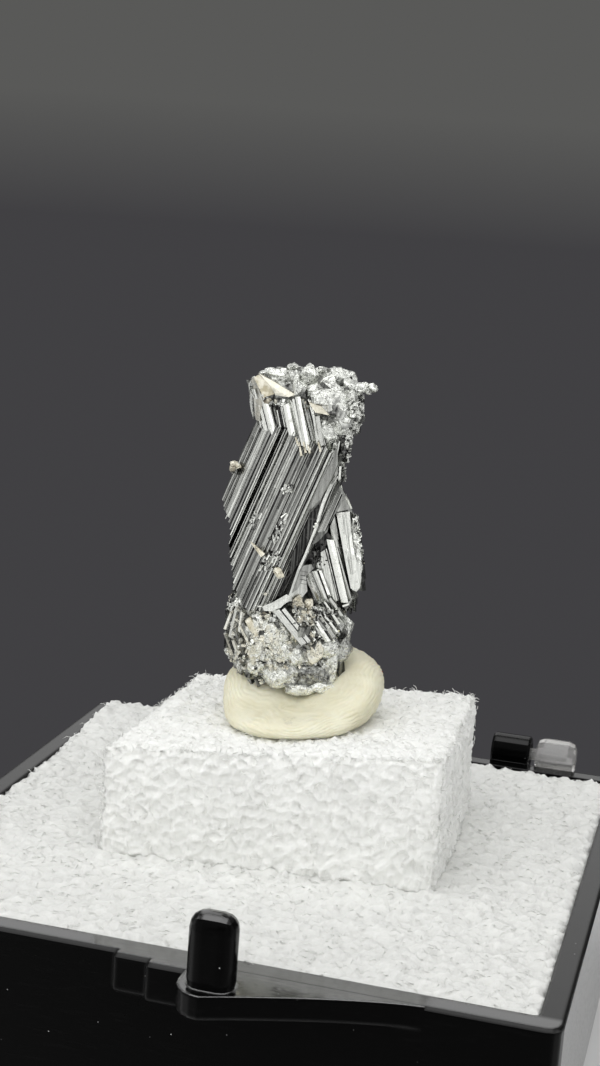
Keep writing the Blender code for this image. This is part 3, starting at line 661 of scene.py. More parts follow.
def cap_far_side(cluster):
    """The far side of the twin."""
    for number in range(24):
        across = 2.05 + number * 0.145
        y = 1.3 - 0.005 * (number - 11) ** 2 + dice.uniform(-0.1, 0.1)
        foot = leaning(across, 12.3 + dice.uniform(-0.4, 0.4), CAP_LEAN, y - 0.25)
        head = leaning(across, 14.7 + dice.uniform(-0.4, 0.4), CAP_LEAN, y - 0.25)
        lath(cluster, foot, head, 0.22, -0.6, dice.uniform(-25, 25), dice.uniform(0.2, 0.9), 0.0,
             dice.uniform(-0.4, 0.4), dice.uniform(-0.4, 0.4), 1.0, 2)


# ---------------------------------------------------------------- crown, blades and fan

def crown(cluster):
    """Small bright crystals that crowd the top and the right flank of the cap."""
    flank, top = (0.95, 0.05, 14.2), (-0.95, 0.35, 15.0)
    lump(cluster, flank, (1.58, 1.36, 1.76), 26, 0.035, 0.9, 0, 6, cut=(0.86, 1.0))
    lump(cluster, top, (1.72, 1.22, 0.9), 26, 0.035, 0.9, 0, 6, cut=(0.86, 1.0))
    clumps(cluster, flank, (1.56, 1.42, 1.8), 40, 0.26, 0.46, ((-0.55, -2.0, -0.9), 2.0), 0.85)
    clumps(cluster, top, (1.75, 1.22, 0.92), 36, 0.24, 0.4, ((-2.0, -2.0, 0.0), 0.95), 0.78)
    crust(cluster, flank, (1.6, 1.38, 1.8), 320, 0.06, 0.18, ((-0.5, -2.0, -0.9), 2.0))
    crust(cluster, top, (1.72, 1.2, 0.95), 240, 0.06, 0.16, ((-2.0, -2.0, 0.0), 0.95))
    knobs = (
        (0.78, -1.05, 14.72, 0.7, 0.42, 0.56), (-0.06, -0.35, 15.7, 0.48, 0.5, 0.44),
        (1.3, -0.15, 15.64, 0.48, 0.4, 0.42), (2.14, -0.15, 14.78, 0.34, 0.38, 0.44),
        (-0.89, -0.1, 16.12, 0.2, 0.2, 0.14), (0.41, 0.0, 16.02, 0.14, 0.16, 0.12),
        (-1.34, -0.45, 15.62, 0.5, 0.34, 0.34), (-0.8, -0.6, 15.62, 0.34, 0.3, 0.3),
        (-0.6, -1.0, 15.2, 0.2, 0.26, 0.42), (-2.15, -0.25, 15.76, 0.3, 0.25, 0.12),
        (1.5, -0.95, 13.6, 0.4, 0.36, 0.4), (0.98, -1.18, 13.45, 0.34, 0.28, 0.34),
        (0.95, -1.15, 12.95, 0.26, 0.26, 0.28), (1.85, -0.55, 12.85, 0.24, 0.3, 0.3),
        (2.05, -0.3, 13.65, 0.22, 0.32, 0.3), (1.85, -0.7, 14.2, 0.34, 0.34, 0.4),
        (0.15, -1.05, 15.15, 0.3, 0.28, 0.26), (-1.75, -0.6, 15.5, 0.34, 0.26, 0.22),
    )
    for x, y, z, wide, deep, tall in knobs:
        lump(cluster, (x, y, z), (wide * 1.6, deep * 1.6, tall * 1.6), 15, 0.03, 0.9, 0,
            5 if wide > 0.4 else 4, 0, 0.15, (0.45, 0.72))
    slab(cluster, ((-0.02, -1.3, 15.12), (0.5, -1.34, 15.3), (0.86, -1.46, 14.7), (0.92, -1.44, 14.04),
        (0.12, -1.46, 14.6)), 0.4, 0.85)
    slab(cluster, ((0.5, -1.34, 15.3), (1.28, -1.14, 15.18), (1.64, -1.06, 14.6), (1.54, -1.12, 14.08),
        (0.92, -1.44, 14.04), (0.86, -1.46, 14.7)), 0.4, 0.75)
    slab(cluster, ((0.86, -0.6, 16.22), (1.38, -0.5, 16.28), (1.9, -0.45, 15.72), (1.62, -0.62, 15.46),
        (1.1, -0.72, 15.68)), 0.4, 0.95)
    for _ in range(260):
        swing, rise = dice.uniform(-0.95, 0.15), dice.uniform(-0.85, 0.6)
        flat = (1 - rise * rise) ** 0.5
        place = (flank[0] + 1.56 * flat * math.cos(swing), flank[1] + 1.46 * flat * math.sin(swing),
            flank[2] + 1.76 * rise)
        grain(cluster, place, dice.uniform(0.08, 0.22), 1.3, dice.choice((0.0, 0.1, 0.6, 0.9, 1.0, 1.0)))
    arm = ((1.92, 15.26, 0.42), (2.14, 15.33, 0.36), (2.36, 15.37, 0.28), (2.54, 15.4, 0.22),
        (2.68, 15.42, 0.2), (2.92, 15.42, 0.19), (3.02, 15.32, 0.15), (2.76, 15.2, 0.16))
    for x, z, size in arm:
        lump(cluster, (x, -0.1, z), (size * 1.3, size * 1.1, size), 8, 0.02, 0.98, 0, 4)
    for _ in range(220):
        place = (dice.uniform(0.7, 2.05), -1.12 + dice.uniform(-0.1, 0.1), dice.uniform(12.5, 14.0))
        place = (place[0], place[1] + 0.28 * max(0.0, place[0] - 0.9), place[2])
        grain(cluster, place, dice.uniform(0.06, 0.2), 1.4, dice.choice((0.0, 0.0, 0.1, 0.6, 1.0)))
    for number in range(110):
        share = number / 110
        place = (1.95 + 0.08 * math.sin(share * 9) - 0.22 * share + dice.uniform(-0.12, 0.12),
                 -0.85 + dice.uniform(-0.2, 0.3), 12.5 - 1.7 * share)
        grain(cluster, place, dice.uniform(0.05, 0.14), 1.5, dice.choice((0.0, 0.0, 0.1, 0.5, 1.0)))


def slab(cluster, outline, depth, tones, cream=0.0):
    """A flat crystal face with the given corners (x, y, z), made solid by a depth behind it."""
    front = [Vector(p) for p in outline]
    back = [p + Vector((0, depth, 0)) for p in front]
    count = len(front)
    faces = [list(range(count)), list(range(count, 2 * count))[::-1]]
    faces += [[i, i + count, (i + 1) % count + count, (i + 1) % count] for i in range(count)]
    cluster.add(front + back, faces, [tones] + [0.3] * (count + 1), cream)


def line_of(cluster, points, width, tone, turn=0.0):
    """A thin crystal edge that follows the given points, lowest first."""
    places = [Vector(point) for point in points]
    for low, high in zip(places, places[1:]):
        lath(cluster, low, high, width, 0.4, turn, tone, 0, 0, 0, 1.0, 1)


def ridge(cluster):
    """The smooth faces right of the striated body, and the thin blade whose edge faces forward."""
    slab(cluster, ((0.9, -1.62, 12.25), (1.47, -1.56, 12.54), (1.56, -1.54, 11.34), (1.29, -1.57, 10.83),
        (0.98, -1.6, 10.4), (0.78, -1.62, 9.89), (0.2, -1.66, 9.0), (0.36, -1.66, 9.8)), 0.6, 0.36, 0.16)
    slab(cluster, ((1.06, -1.8, 10.4), (0.69, -1.84, 9.8), (0.4, -1.87, 9.45), (0.05, -1.89, 8.3),
        (-0.36, -1.91, 7.3), (-0.46, -1.93, 6.2), (-0.1, -1.9, 6.75), (0.23, -1.88, 7.6),
        (0.51, -1.86, 8.39), (0.77, -1.82, 9.45)), 0.4, 0.0)
    edge = ((-0.46, -1.96, 5.0), (-0.28, -1.96, 5.46), (0.02, -1.95, 6.64), (0.32, -1.94, 7.47),
        (0.53, -1.93, 8.19), (0.72, -1.92, 8.83), (0.81, -1.9, 9.33), (0.94, -1.88, 9.93),
        (1.1, -1.84, 10.42), (1.29, -1.78, 10.87), (1.5, -1.7, 11.23))
    line_of(cluster, [Vector(point) for point in edge], 0.11, 1.0, -2)
    line_of(cluster, [Vector(point) + Vector((0.08, 0.12, 0)) for point in edge], 0.07, 0.5, 10)
    for x, z in ((0.7, 8.92), (0.62, 8.78), (0.78, 9.02)):
        lump(cluster, (x, -1.92, z), (0.09, 0.08, 0.08), 6, 0.01, 0.98, 0, 3)
    upper = (((1.52, -1.6, 11.1), (1.2, -1.66, 10.2), (1.02, -1.68, 9.7), (1.2, -1.58, 9.7),
        (1.6, -1.48, 10.6)), ((1.6, -1.46, 11.0), (1.66, -1.38, 10.6), (1.25, -1.52, 9.6),
        (0.92, -1.66, 9.2), (1.05, -1.66, 9.8)),
        ((1.7, -1.34, 10.7), (2.05, -1.1, 10.25), (1.66, -1.22, 9.48), (1.2, -1.46, 8.6),
        (0.95, -1.58, 8.6), (1.3, -1.48, 9.8)), ((1.1, -1.54, 9.6), (1.4, -1.4, 9.6), (1.28, -1.4, 8.5),
        (0.87, -1.5, 8.0), (0.55, -1.68, 7.8), (0.74, -1.68, 8.7)),)
    for number, face in enumerate(upper):
        slab(cluster, face, 0.5, (0.34, 0.22, 0.32, 0.2)[number], 0.16)
    for number in range(9):
        share = number / 9
        head = (1.5 + 0.4 * share, -1.62 + 0.36 * share, 11.0 - 0.75 * share)
        foot_end = (0.72 + 0.52 * share, -1.74 + 0.28 * share, 8.45 + 0.1 * share)
        lath(cluster, foot_end, head, 0.05, 0.2, 0, dice.choice((0.15, 0.4, 0.7)), 0, 0, 0, 0.6, 1)
    slab(cluster, ((-0.2, -1.66, 5.4), (0.04, -1.62, 6.2), (0.18, -1.58, 6.76), (0.62, -1.42, 6.83),
        (0.74, -1.36, 6.6), (0.32, -1.5, 6.18), (0.05, -1.6, 5.6)), 0.5, 0.4)
    slab(cluster, ((-1.61, -1.96, 4.7), (-1.09, -1.98, 4.96), (-0.48, -1.98, 5.39), (-0.31, -1.98, 5.33),
        (-0.53, -2.0, 4.94), (-0.7, -2.0, 4.72), (-1.12, -1.98, 4.5), (-1.49, -1.96, 4.5)), 0.5, 0.88)
    slab(cluster, ((-0.4, -1.6, 4.95), (0.01, -1.56, 5.8), (0.38, -1.5, 6.32), (0.52, -1.46, 5.49),
        (0.16, -1.54, 5.0)), 0.5, 0.62)
    for number in range(4):
        line_of(cluster, ((0.0 + 0.05 * number, -1.6, 5.9 + 0.2 * number),
                          (0.48, -1.5, 5.82 + 0.2 * number)), 0.02, dice.choice((0.2, 0.4)))
    line_of(cluster, ((2.36, -0.66, 9.53), (2.16, -0.82, 9.94), (1.84, -1.12, 10.41),
                      (1.66, -1.4, 10.99), (1.66, -1.4, 11.69)), 0.1, 1.0, -4)
    line_of(cluster, ((1.46, -1.4, 12.28), (1.53, -1.4, 12.9)), 0.05, 1.0)


def right_blade(cluster):
    """The long tablet on the right: a bright striated face, a rough edge and a round lower end."""
    lump(cluster, (2.76, -0.08, 7.38), (0.46, 0.4, 2.08), 10, 0.03, 0.9, 0, 6, -10, 0.17)
    for _ in range(60):
        share = dice.random()
        place = (2.42 + 0.56 * share ** 0.8 + dice.uniform(0.02, 0.24), -0.46, 9.1 - 2.3 * share)
        grain(cluster, place, dice.uniform(0.04, 0.1), 1.6, dice.choice((0.0, 0.6, 0.9, 1.0)))
    slab(cluster, ((1.65, -0.58, 9.25), (1.84, -0.62, 9.3), (2.27, -0.68, 7.47), (2.74, -0.66, 5.54),
        (2.62, -0.64, 5.58), (2.2, -0.62, 7.1)), 0.5, 1.0)
    slab(cluster, ((1.82, -0.62, 9.3), (2.29, -0.56, 9.38), (2.44, -0.56, 8.36), (2.7, -0.58, 7.2),
        (2.98, -0.58, 6.68), (3.1, -0.56, 6.16), (3.07, -0.56, 5.62), (2.91, -0.58, 5.43),
        (2.72, -0.62, 5.5), (2.64, -0.64, 5.62), (2.28, -0.66, 7.45)), 0.5, 0.84)
    for number in range(5):
        shift = 0.05 * number
        line_of(cluster, ((2.56 + shift * 0.6, -0.66, 6.3), (1.95 + shift, -0.62, 9.2)), 0.025,
                dice.choice((0.5, 0.8, 1.0)))
    slab(cluster, ((1.77, -0.72, 10.18), (2.08, -0.66, 10.15), (2.3, -0.6, 9.5), (1.68, -0.66, 9.32)),
        0.5, 0.42, 0.15)
    slab(cluster, ((1.58, -0.58, 9.1), (1.9, -0.5, 7.85), (2.26, -0.46, 6.7), (2.44, -0.42, 6.2),
        (1.96, -0.6, 7.05), (1.52, -0.68, 8.0), (1.4, -0.72, 8.6)), 0.5, 0.55)
    lump(cluster, (2.24, -0.4, 9.72), (0.1, 0.12, 0.18), 6, 0.015, 1.0, 0, 3)
    for number in range(7):
        x = 2.3 + number * 0.12
        foot, head = Vector((x + 0.35, 0.75, 5.6)), Vector((x - 0.35, 0.65, 9.3 - 0.05 * number))
        lath(cluster, foot - Vector((0.12, 0, -0.2)), head, 0.18, -0.5, dice.uniform(-20, 20),
            dice.uniform(0.3, 0.9), 0, 0.3, -0.8, 0.8, 2)


def fan(cluster):
    """Bright laths that spread down to the lower right, below a hollow painted black as its shade."""
    # a black face painted where the hollow lies in shade
    slab(cluster, ((0.2, -0.88, 6.75), (0.36, -0.88, 7.5), (0.81, -0.86, 8.02), (1.3, -0.8, 8.34),
        (1.5, -0.8, 8.07), (1.19, -0.86, 7.55), (0.96, -0.9, 6.9), (0.78, -0.9, 6.46)), 0.4, 0.0)
    slab(cluster, ((1.03, -0.88, 7.32), (1.31, -0.88, 7.54), (2.09, -0.9, 5.0), (1.4, -0.92, 4.9)), 0.4,
        0.85)
    for number in range(11):
        shift = 0.062 * number
        foot_end, head = (1.32 + shift, -0.92, 4.9), (0.88 + shift * 0.8, -0.9, 6.75 + 0.9 * shift)
        lath(cluster, foot_end, head, 0.06, 0.3, dice.uniform(-12, 8), dice.choice((0.6, 0.8, 0.9, 1.0)), 0,
             0, dice.uniform(-0.3, 0.3), 0.8, 1)
    slab(cluster, ((0.3, -1.1, 6.25), (1.0, -1.1, 6.55), (1.8, -1.06, 4.9), (0.95, -1.1, 4.85)), 0.4, 0.8)
    # the narrow dark bars between the bright ones are painted shade in the gaps
    bars = (
        (0.5, 6.34, 1.22, 4.9, -1.22, 0.24, 0.9), (0.64, 6.4, 1.34, 4.9, -1.16, 0.05, 0.25),
        (0.8, 6.44, 1.48, 4.92, -1.18, 0.22, 0.85), (0.94, 6.46, 1.62, 4.92, -1.12, 0.05, 0.15),
        (1.02, 6.48, 1.7, 4.94, -1.08, 0.2, 0.8), (1.14, 6.52, 1.82, 4.94, -1.02, 0.04, 0.25),
        (0.34, 6.22, 1.04, 4.86, -1.14, 0.12, 0.6), (1.44, 8.02, 2.37, 4.96, -1.06, 0.34, 1.0),
        (1.62, 7.9, 2.52, 4.9, -0.88, 0.07, 0.02), (1.2, 7.6, 2.1, 4.85, -0.94, 0.05, 0.3),
        (1.74, 7.6, 2.62, 5.1, -0.78, 0.16, 0.35),
    )
    for head_x, head_z, foot_x, foot_z, y, width, tone in bars:
        lath(cluster, (foot_x, y, foot_z), (head_x, y, head_z), width, 0.6, dice.uniform(-12, 2), tone, 0,
             dice.uniform(-0.5, 0.5), dice.uniform(-0.6, 0.2), 1.0, 2 if width > 0.1 else 1)
    # grains in the hollow, mostly black as painted shade, with a few grey ones
    for _ in range(120):
        x, z = dice.gauss(0.85, 0.22), dice.gauss(7.1, 0.36)
        grain(cluster, (x, -0.84, z), dice.uniform(0.05, 0.15), 1.2, dice.choice((0.0, 0.0, 0.05, 0.5)))
    for number in range(40):
        x = -0.4 + number * 0.08
        foot = Vector((x + 0.3, 1.75 - 0.12 * (x - 0.8) ** 2, 4.0 + dice.uniform(-0.4, 0.4)))
        head = Vector((x - 0.1, 1.7 - 0.12 * (x - 0.8) ** 2, 8.6 + dice.uniform(-1.2, 0.6)))
        lath(cluster, foot, head, 0.14, -0.5, dice.uniform(-25, 25), dice.uniform(0.2, 0.9), 0, 0, 0,
            1.0, 1)


# ---------------------------------------------------------------- foot

def foot_radius(height):
    """How far the foot reaches at a height, as a share of its widest."""
    return 0.66 + 0.34 * math.sin(math.pi / 2 * min(1.0, (height + 0.2) / 3.0))


def foot(cluster):
    """Grainy lumps, cream and grey in patches, on a mass that narrows below."""
    lump(cluster, (-0.2, 0.2, 2.5), (2.84, 2.1, 2.66), 60, 0.05, 1.0, 0.42, 6, 0, 0.22, (0.86, 1.0))
    lump(cluster, (-2.18, 0.0, 3.3), (1.14, 1.38, 1.5), 20, 0.05, 0.85, 0.35, 5, -12, 0.2, (0.86, 1.0))
    lump(cluster, (1.68, 0.15, 2.2), (0.98, 1.38, 1.92), 20, 0.05, 0.7, 0.1, 5, 0, 0.2, (0.86, 1.0))
    patches = (
        (-0.77, -1.66, 1.27, 0.66, 0.32, 0.5, 1.0, 0.0), (0.8, -1.62, 1.22, 0.78, 0.3, 0.46, 0.1, 0.0),
        (1.8, -1.3, 1.64, 0.46, 0.34, 0.66, 0.72, 0.25), (1.52, -1.5, 0.72, 0.5, 0.3, 0.3, 0.95, 0.1),
        (0.4, -1.62, 0.62, 0.62, 0.3, 0.26, 0.8, 0.1), (-0.98, -1.86, 3.29, 0.6, 0.26, 0.62, 1.0, 0.55),
        (-0.62, -1.88, 2.55, 0.55, 0.24, 0.42, 0.85, 0.45), (-1.45, -1.8, 2.35, 0.4, 0.26, 0.42, 0.85, 0.6),
        (-1.55, -1.72, 3.95, 0.42, 0.28, 0.4, 0.8, 0.45), (1.06, -1.96, 2.6, 0.3, 0.16, 0.44, 0.95, 0.8),
        (0.1, -1.9, 2.35, 0.42, 0.22, 0.36, 0.7, 0.15), (1.7, -1.62, 2.75, 0.4, 0.24, 0.34, 0.75, 0.1),
        (2.35, -1.0, 2.6, 0.36, 0.4, 0.5, 0.4, 0.0), (-1.55, -1.62, 1.55, 0.42, 0.26, 0.34, 0.8, 0.45),
        (0.02, -1.74, 1.5, 0.4, 0.22, 0.4, 0.45, 0.0), (2.5, -0.7, 3.6, 0.34, 0.46, 0.7, 0.6, 0.05),
    )
    for x, y, z, wide, deep, tall, tone, cream in patches:
        lump(cluster, (x, y + 0.12, z), (wide * 1.45, deep * 1.3, tall * 1.45), 8, 0.03,
            min(1.0, tone + 0.1), cream * 0.8, 5 if wide > 0.6 else 4, 0, 0.13, (0.5, 0.85))
    clumps(cluster, (-0.2, 0.15, 2.3), (2.85, 2.2, 2.4), 70, 0.3, 0.6, ((-2.0, -0.35, -2.0), 2.0), 0.7, 0.5)
    for _ in range(240):
        x, z = dice.gauss(-1.3, 0.55), dice.gauss(3.1, 0.75)
        grain(cluster, (x, -2.04 + 0.2 * (x + 0.9) ** 2 + 0.1 * abs(z - 2.8), z),
            dice.uniform(0.1, 0.28), 1.4, dice.choice((0.8, 1.0, 1.0, 1.0)),
            dice.choice((0.35, 0.45, 0.6)))
    for _ in range(260):
        height = dice.uniform(1.4, 4.7)
        swing = math.radians(dice.uniform(182, 246))
        swell = foot_radius(height)
        place = (-0.2 + 3.02 * swell * math.cos(swing), 0.1 + 2.12 * swell * math.sin(swing), height)
        grain(cluster, place, dice.uniform(0.08, 0.26), 1.5, dice.choice((0.0, 0.1, 0.4, 0.7, 1.0)),
              dice.choice((0, 0.35, 0.5, 0.6)))
    for number in range(700):
        height = 0.55 + 4.1 * dice.random()
        swing = number * GOLDEN_TURN
        swell = foot_radius(height)
        wide = 3.05 if math.cos(swing) < 0 else 2.72
        place = Vector((-0.2 + wide * swell * math.cos(swing), 0.1 + 2.1 * swell * math.sin(swing), height))
        lean = math.radians(dice.gauss(-38, 16)) if place.x > -2.4 else math.radians(dice.gauss(12, 14))
        along = Vector((math.sin(lean) * abs(math.sin(swing)), 0, math.cos(lean)))
        along *= dice.uniform(0.08, 0.34) * (0.6 if height < 1.5 else 1.0)
        middle = place.y < -1.3 and -2.3 < place.x < 1.6
        if (middle or place.x < -2.2) and dice.random() < 0.75:
            along *= 0.4
        warm = place.x < 0.3 and height > 1.4
        tint = dice.uniform(0.2, 0.9) if dice.random() < (0.6 if warm else 0.15) else 0.0
        lath(cluster, place - along, place + along, dice.uniform(0.07, 0.2), 0.35,
            math.degrees(swing) + 90, dice.choice((0.1, 0.5, 0.7, 0.85, 0.95, 1.0)), tint,
            dice.uniform(-0.6, 0.6), dice.uniform(-0.6, 0.6), 0.8, 1)


def foot_laths(cluster):
    """Sets of bright laths on the foot's front with the gaps between them painted black as shade, and cream
    ones at its left.
    """
    # the narrow laths of tone 0.0 and 0.05 are gaps painted black as shade
    for shift, width, tone in ((0.0, 0.13, 0.9), (0.14, 0.2, 1.0), (0.29, 0.05, 0.0), (0.42, 0.19, 1.0),
            (0.55, 0.05, 0.05)):
        head, foot_end = (-1.0 + shift, -2.16, 4.58 + 0.3 * shift), (0.46 + 0.75 * shift, -2.2,
            3.0 + 0.4 * shift)
        lath(cluster, foot_end, head, width, 0.4, -4, tone, 0, dice.uniform(-0.3, 0.3),
            dice.uniform(-0.3, 0.3), 1.0, 1)
    for number in range(9):
        # every other lath is a narrow gap painted black as shade
        bright = number % 2 == 0
        start, slip = 0.115 * number + dice.uniform(-0.02, 0.02), dice.uniform(-0.1, 0.35)
        head = (0.66 + start, -1.86 + 0.05 * number, 4.75 + 0.5 * start - dice.uniform(0.0, 0.3))
        foot_end = (1.72 + 0.7 * start - 0.5 * slip, -1.8 + 0.05 * number, 3.16 + start + slip)
        lath(cluster, foot_end, head, dice.uniform(0.15, 0.26) if bright else 0.05, 0.4,
            dice.uniform(-16, 4), dice.uniform(0.85, 1.0) if bright else 0.05, 0,
            dice.uniform(-0.8, 0.8), dice.uniform(-0.8, 0.8), 1.0, 2)
    slab(cluster, ((0.45, -1.74, 4.7), (0.95, -1.72, 4.85), (1.7, -1.5, 4.75), (2.45, -1.1, 3.9),
        (2.25, -1.3, 3.4), (1.6, -1.62, 3.1), (1.05, -1.74, 3.4)), 0.5, 0.62, 0.2)
    for _ in range(130):
        x, z = dice.uniform(-0.1, 1.0), dice.uniform(3.2, 4.6)
        grain(cluster, (x, -1.98, z), dice.uniform(0.08, 0.2), 1.4, dice.choice((0.4, 0.9, 1.0)),
            dice.choice((0.2, 0.5, 0.7)))
    for _ in range(90):
        x, z = dice.uniform(0.6, 2.2), dice.uniform(3.0, 4.8)
        grain(cluster, (x, -1.98 + 0.42 * max(0.0, x - 0.9), z), dice.uniform(0.05, 0.14), 1.5,
              dice.choice((0.0, 0.0, 0.5, 0.9)), dice.choice((0, 0, 0.4)))
    # the narrow rows of tone 0.0 are gaps painted black as shade
    rows = (
        (0.12, 4.3, 1.15, 3.05, -1.92, 0.12, 0.95, 0.0), (0.26, 4.45, 1.22, 3.3, -1.88, 0.1, 0.5, 0.3),
        (0.4, 4.62, 1.4, 3.45, -1.84, 0.12, 0.9, 0.1), (0.6, 4.75, 1.55, 3.7, -1.8, 0.1, 0.2, 0.0),
        (0.78, 4.8, 1.7, 3.82, -1.76, 0.12, 0.9, 0.0), (-2.26, 3.98, -1.6, 2.84, -1.82, 0.32, 0.95, 0.95),
        (-2.56, 3.6, -1.98, 2.5, -1.68, 0.2, 0.8, 0.6), (-2.08, 2.4, -1.66, 1.5, -1.66, 0.3, 0.85, 0.65),
        (-2.4, 2.6, -2.0, 1.4, -1.45, 0.16, 0.7, 0.5), (-1.8, 4.3, -1.35, 3.4, -1.8, 0.16, 0.8, 0.5),
        (-2.75, 4.6, -3.05, 2.8, -1.05, 0.24, 0.55, 0.42), (-2.92, 4.3, -3.2, 3.0, -0.85, 0.06, 0.0, 0.0),
        (-2.98, 4.2, -3.32, 3.1, -0.7, 0.24, 0.6, 0.45), (-2.6, 4.4, -2.76, 3.0, -1.3, 0.08, 0.0, 0.0),
        (-2.5, 4.5, -2.6, 3.2, -1.45, 0.22, 0.7, 0.4), (-3.3, 2.9, -2.95, 2.1, -0.75, 0.22, 0.55, 0.45),
        (-3.1, 2.6, -2.8, 1.9, -1.0, 0.08, 0.0, 0.0), (-2.9, 2.7, -2.55, 1.8, -1.15, 0.2, 0.6, 0.45),
    )
    for head_x, head_z, foot_x, foot_z, y, width, tone, cream in rows:
        lath(cluster, (foot_x, y, foot_z), (head_x, y, head_z), width, 0.4, dice.uniform(-12, 6), tone,
            cream, dice.uniform(-0.5, 0.5), dice.uniform(-0.5, 0.5), 1.0, 2 if width > 0.14 else 1)
    line_of(cluster, ((-1.75, -1.86, 1.5), (-1.45, -1.9, 1.8), (-0.97, -1.94, 1.9),
                      (-0.23, -1.94, 1.95)), 0.07, 0.0)
    line_of(cluster, ((-1.35, -1.92, 4.62), (-0.8, -1.96, 4.72), (-0.42, -1.94, 5.05)), 0.09, 1.0)
    line_of(cluster, ((2.28, -0.95, 4.74), (2.58, -0.92, 4.86), (2.7, -0.85, 5.16)), 0.1, 1.0)
    slab(cluster, ((2.3, -1.15, 2.3), (2.55, -0.98, 2.1), (2.68, -0.85, 1.3), (2.35, -1.1, 1.0),
        (2.28, -1.2, 1.6)), 0.4, 0.08)


def loose_bits(cluster):
    """Cream and tan grains of gangue stuck to the crystals."""
    lath(cluster, (-1.72, -2.02, 7.22), (-2.32, -1.92, 7.78), 0.24, 0.24, 0, 0.95, 1.0, 0, 0.6, 0.3, 2)
    bits = (
        (-0.92, -2.05, 6.42, 0.3, 0.39, 0.95, 1.0), (-3.38, -0.6, 11.3, 0.28, 0.22, 0.7, 0.8),
        (-3.46, -0.62, 11.2, 0.22, 0.24, 0.3, 0.7), (-3.42, -0.55, 10.98, 0.2, 0.18, 0.02, 0.2),
        (-3.26, -0.66, 11.22, 0.2, 0.16, 0.9, 0.9), (-3.03, -1.0, 6.84, 0.18, 0.18, 1.0, 0.9),
        (0.1, -1.66, 4.95, 0.32, 0.34, 0.5, 0.75), (0.3, -1.7, 4.8, 0.2, 0.2, 0.7, 0.6),
        (0.62, -1.62, 4.87, 0.28, 0.44, 0.7, 0.95), (0.95, -1.8, 4.3, 0.22, 0.2, 0.6, 0.7),
    )
    for x, y, z, wide, tall, tone, cream in bits:
        lump(cluster, (x, y, z), (wide, wide * 0.8, tall), 9, 0.05, tone, cream, 4,
            dice.uniform(-40, 40), 0.16, (0.42, 0.8))
    for x, z, tall in ((-0.28, 12.45, 0.62), (-0.08, 12.55, 0.5), (-0.46, 12.8, 0.4),
            (0.62, 12.62, 0.45), (0.12, 12.5, 0.4)):
        lath(cluster, (x + 0.05, -1.85, z - tall / 2), (x - 0.1, -1.8, z + tall / 2), 0.11, 0.2, 0, 0.8,
            0.75, 0, 0, 0.6, 2)


def cream_faces(cluster):
    """A tan pit and a bright cream band at the cap's upper left, and a small face beside the flank."""
    slab(cluster, ((-2.76, -0.82, 15.54), (-2.5, -0.9, 15.72), (-1.9, -1.04, 15.28), (-1.72, -1.1, 14.88),
                   (-2.24, -1.14, 14.66), (-2.4, -1.0, 15.0)), 0.25, 0.72, 0.85)
    slab(cluster, ((-2.52, -0.88, 15.78), (-1.7, -0.98, 15.42), (-0.7, -1.16, 14.93), (-1.02, -1.24, 14.8),
                   (-1.66, -1.18, 14.84), (-1.92, -1.1, 15.26)), 0.3, 1.0, 0.62)
    slab(cluster, ((-2.86, -0.72, 15.46), (-2.74, -0.84, 15.56), (-2.5, -0.96, 15.15),
        (-2.27, -1.14, 14.66), (-2.24, -1.12, 14.4), (-2.32, -1.02, 13.97), (-2.3, -0.98, 13.5),
        (-2.52, -0.86, 13.55), (-2.68, -0.74, 14.38), (-2.8, -0.68, 15.12)), 0.3, 0.4, 0.47)
    slab(cluster, ((-2.98, -0.5, 15.22), (-2.86, -0.66, 15.42), (-2.79, -0.7, 15.12), (-2.66, -0.76, 14.38),
                   (-2.5, -0.86, 13.58), (-2.64, -0.6, 13.55), (-2.78, -0.5, 13.92), (-2.88, -0.45, 14.34),
                   (-2.93, -0.45, 14.8)), 0.3, 0.62, 0.36)
    slab(cluster, ((-0.06, -1.64, 14.68), (0.56, -1.66, 14.52), (0.98, -1.6, 14.12),
        (0.28, -1.66, 14.22)), 0.2, 1.0, 0.7)
    lump(cluster, (-2.0, -1.15, 14.55), (0.22, 0.14, 0.16), 7, 0.02, 0.2, 0.6, 4)
    for number in range(60):
        share = number / 60
        place = (-1.9 + 1.9 * share, -1.22 - 0.3 * share, 14.45 + 0.1 * share + dice.uniform(-0.12, 0.16))
        grain(cluster, place, dice.uniform(0.06, 0.16), 1.2, dice.choice((0.1, 0.5, 0.9, 1.0)),
            dice.choice((0, 0, 0.6)))


def own_run(look):
    """Each crystal's own frame, which its mesh carries."""
    return look.attribute("run", "Vector")


def body_run(look):
    """The solid's coordinates, turned to the body's lean."""
    return look.position(turn=(0.0, math.radians(-BODY_LEAN), 0.0))


def make_crystal():
    """Build every piece of the crystal, and dress the solid below them."""
    striated = metal_finish("striated_metal", own_run)
    crusty = metal_finish("crust_metal", own_run, 0.66, 0.22, 0.42, grains=True)
    pieces = (
        ("body_striations", striated, (body, body_far_side, broken_ground)),
        ("twin_cap_striations", striated, (cap, cap_far_side, cream_faces)),
        ("crown_crust", crusty, (crown,)),
        ("blades", striated, (ridge, right_blade)),
        ("fan_laths", striated, (fan,)),
        ("foot_crust", crusty, (foot,)),
        ("foot_laths", striated, (foot_laths,)),
        ("gangue_bits", crusty, (loose_bits,)),
    )
    for number, (name, finish, makers) in enumerate(pieces):
        dice.seed(PIECE_SEED + number)
        cluster = Cluster(name)
        for maker in makers:
            maker(cluster)
        cluster.build(finish)
    base = metal_finish("crystal_ground", body_run, 0.9, 0.2, 0.4, True)
    dress("bournonite", base)


def dress(node, finish):
    """Give a solid its finish."""
    slots = nodes[node].data.materials
    slots.clear()
    slots.append(finish)


# ---------------------------------------------------------------- foam and putty

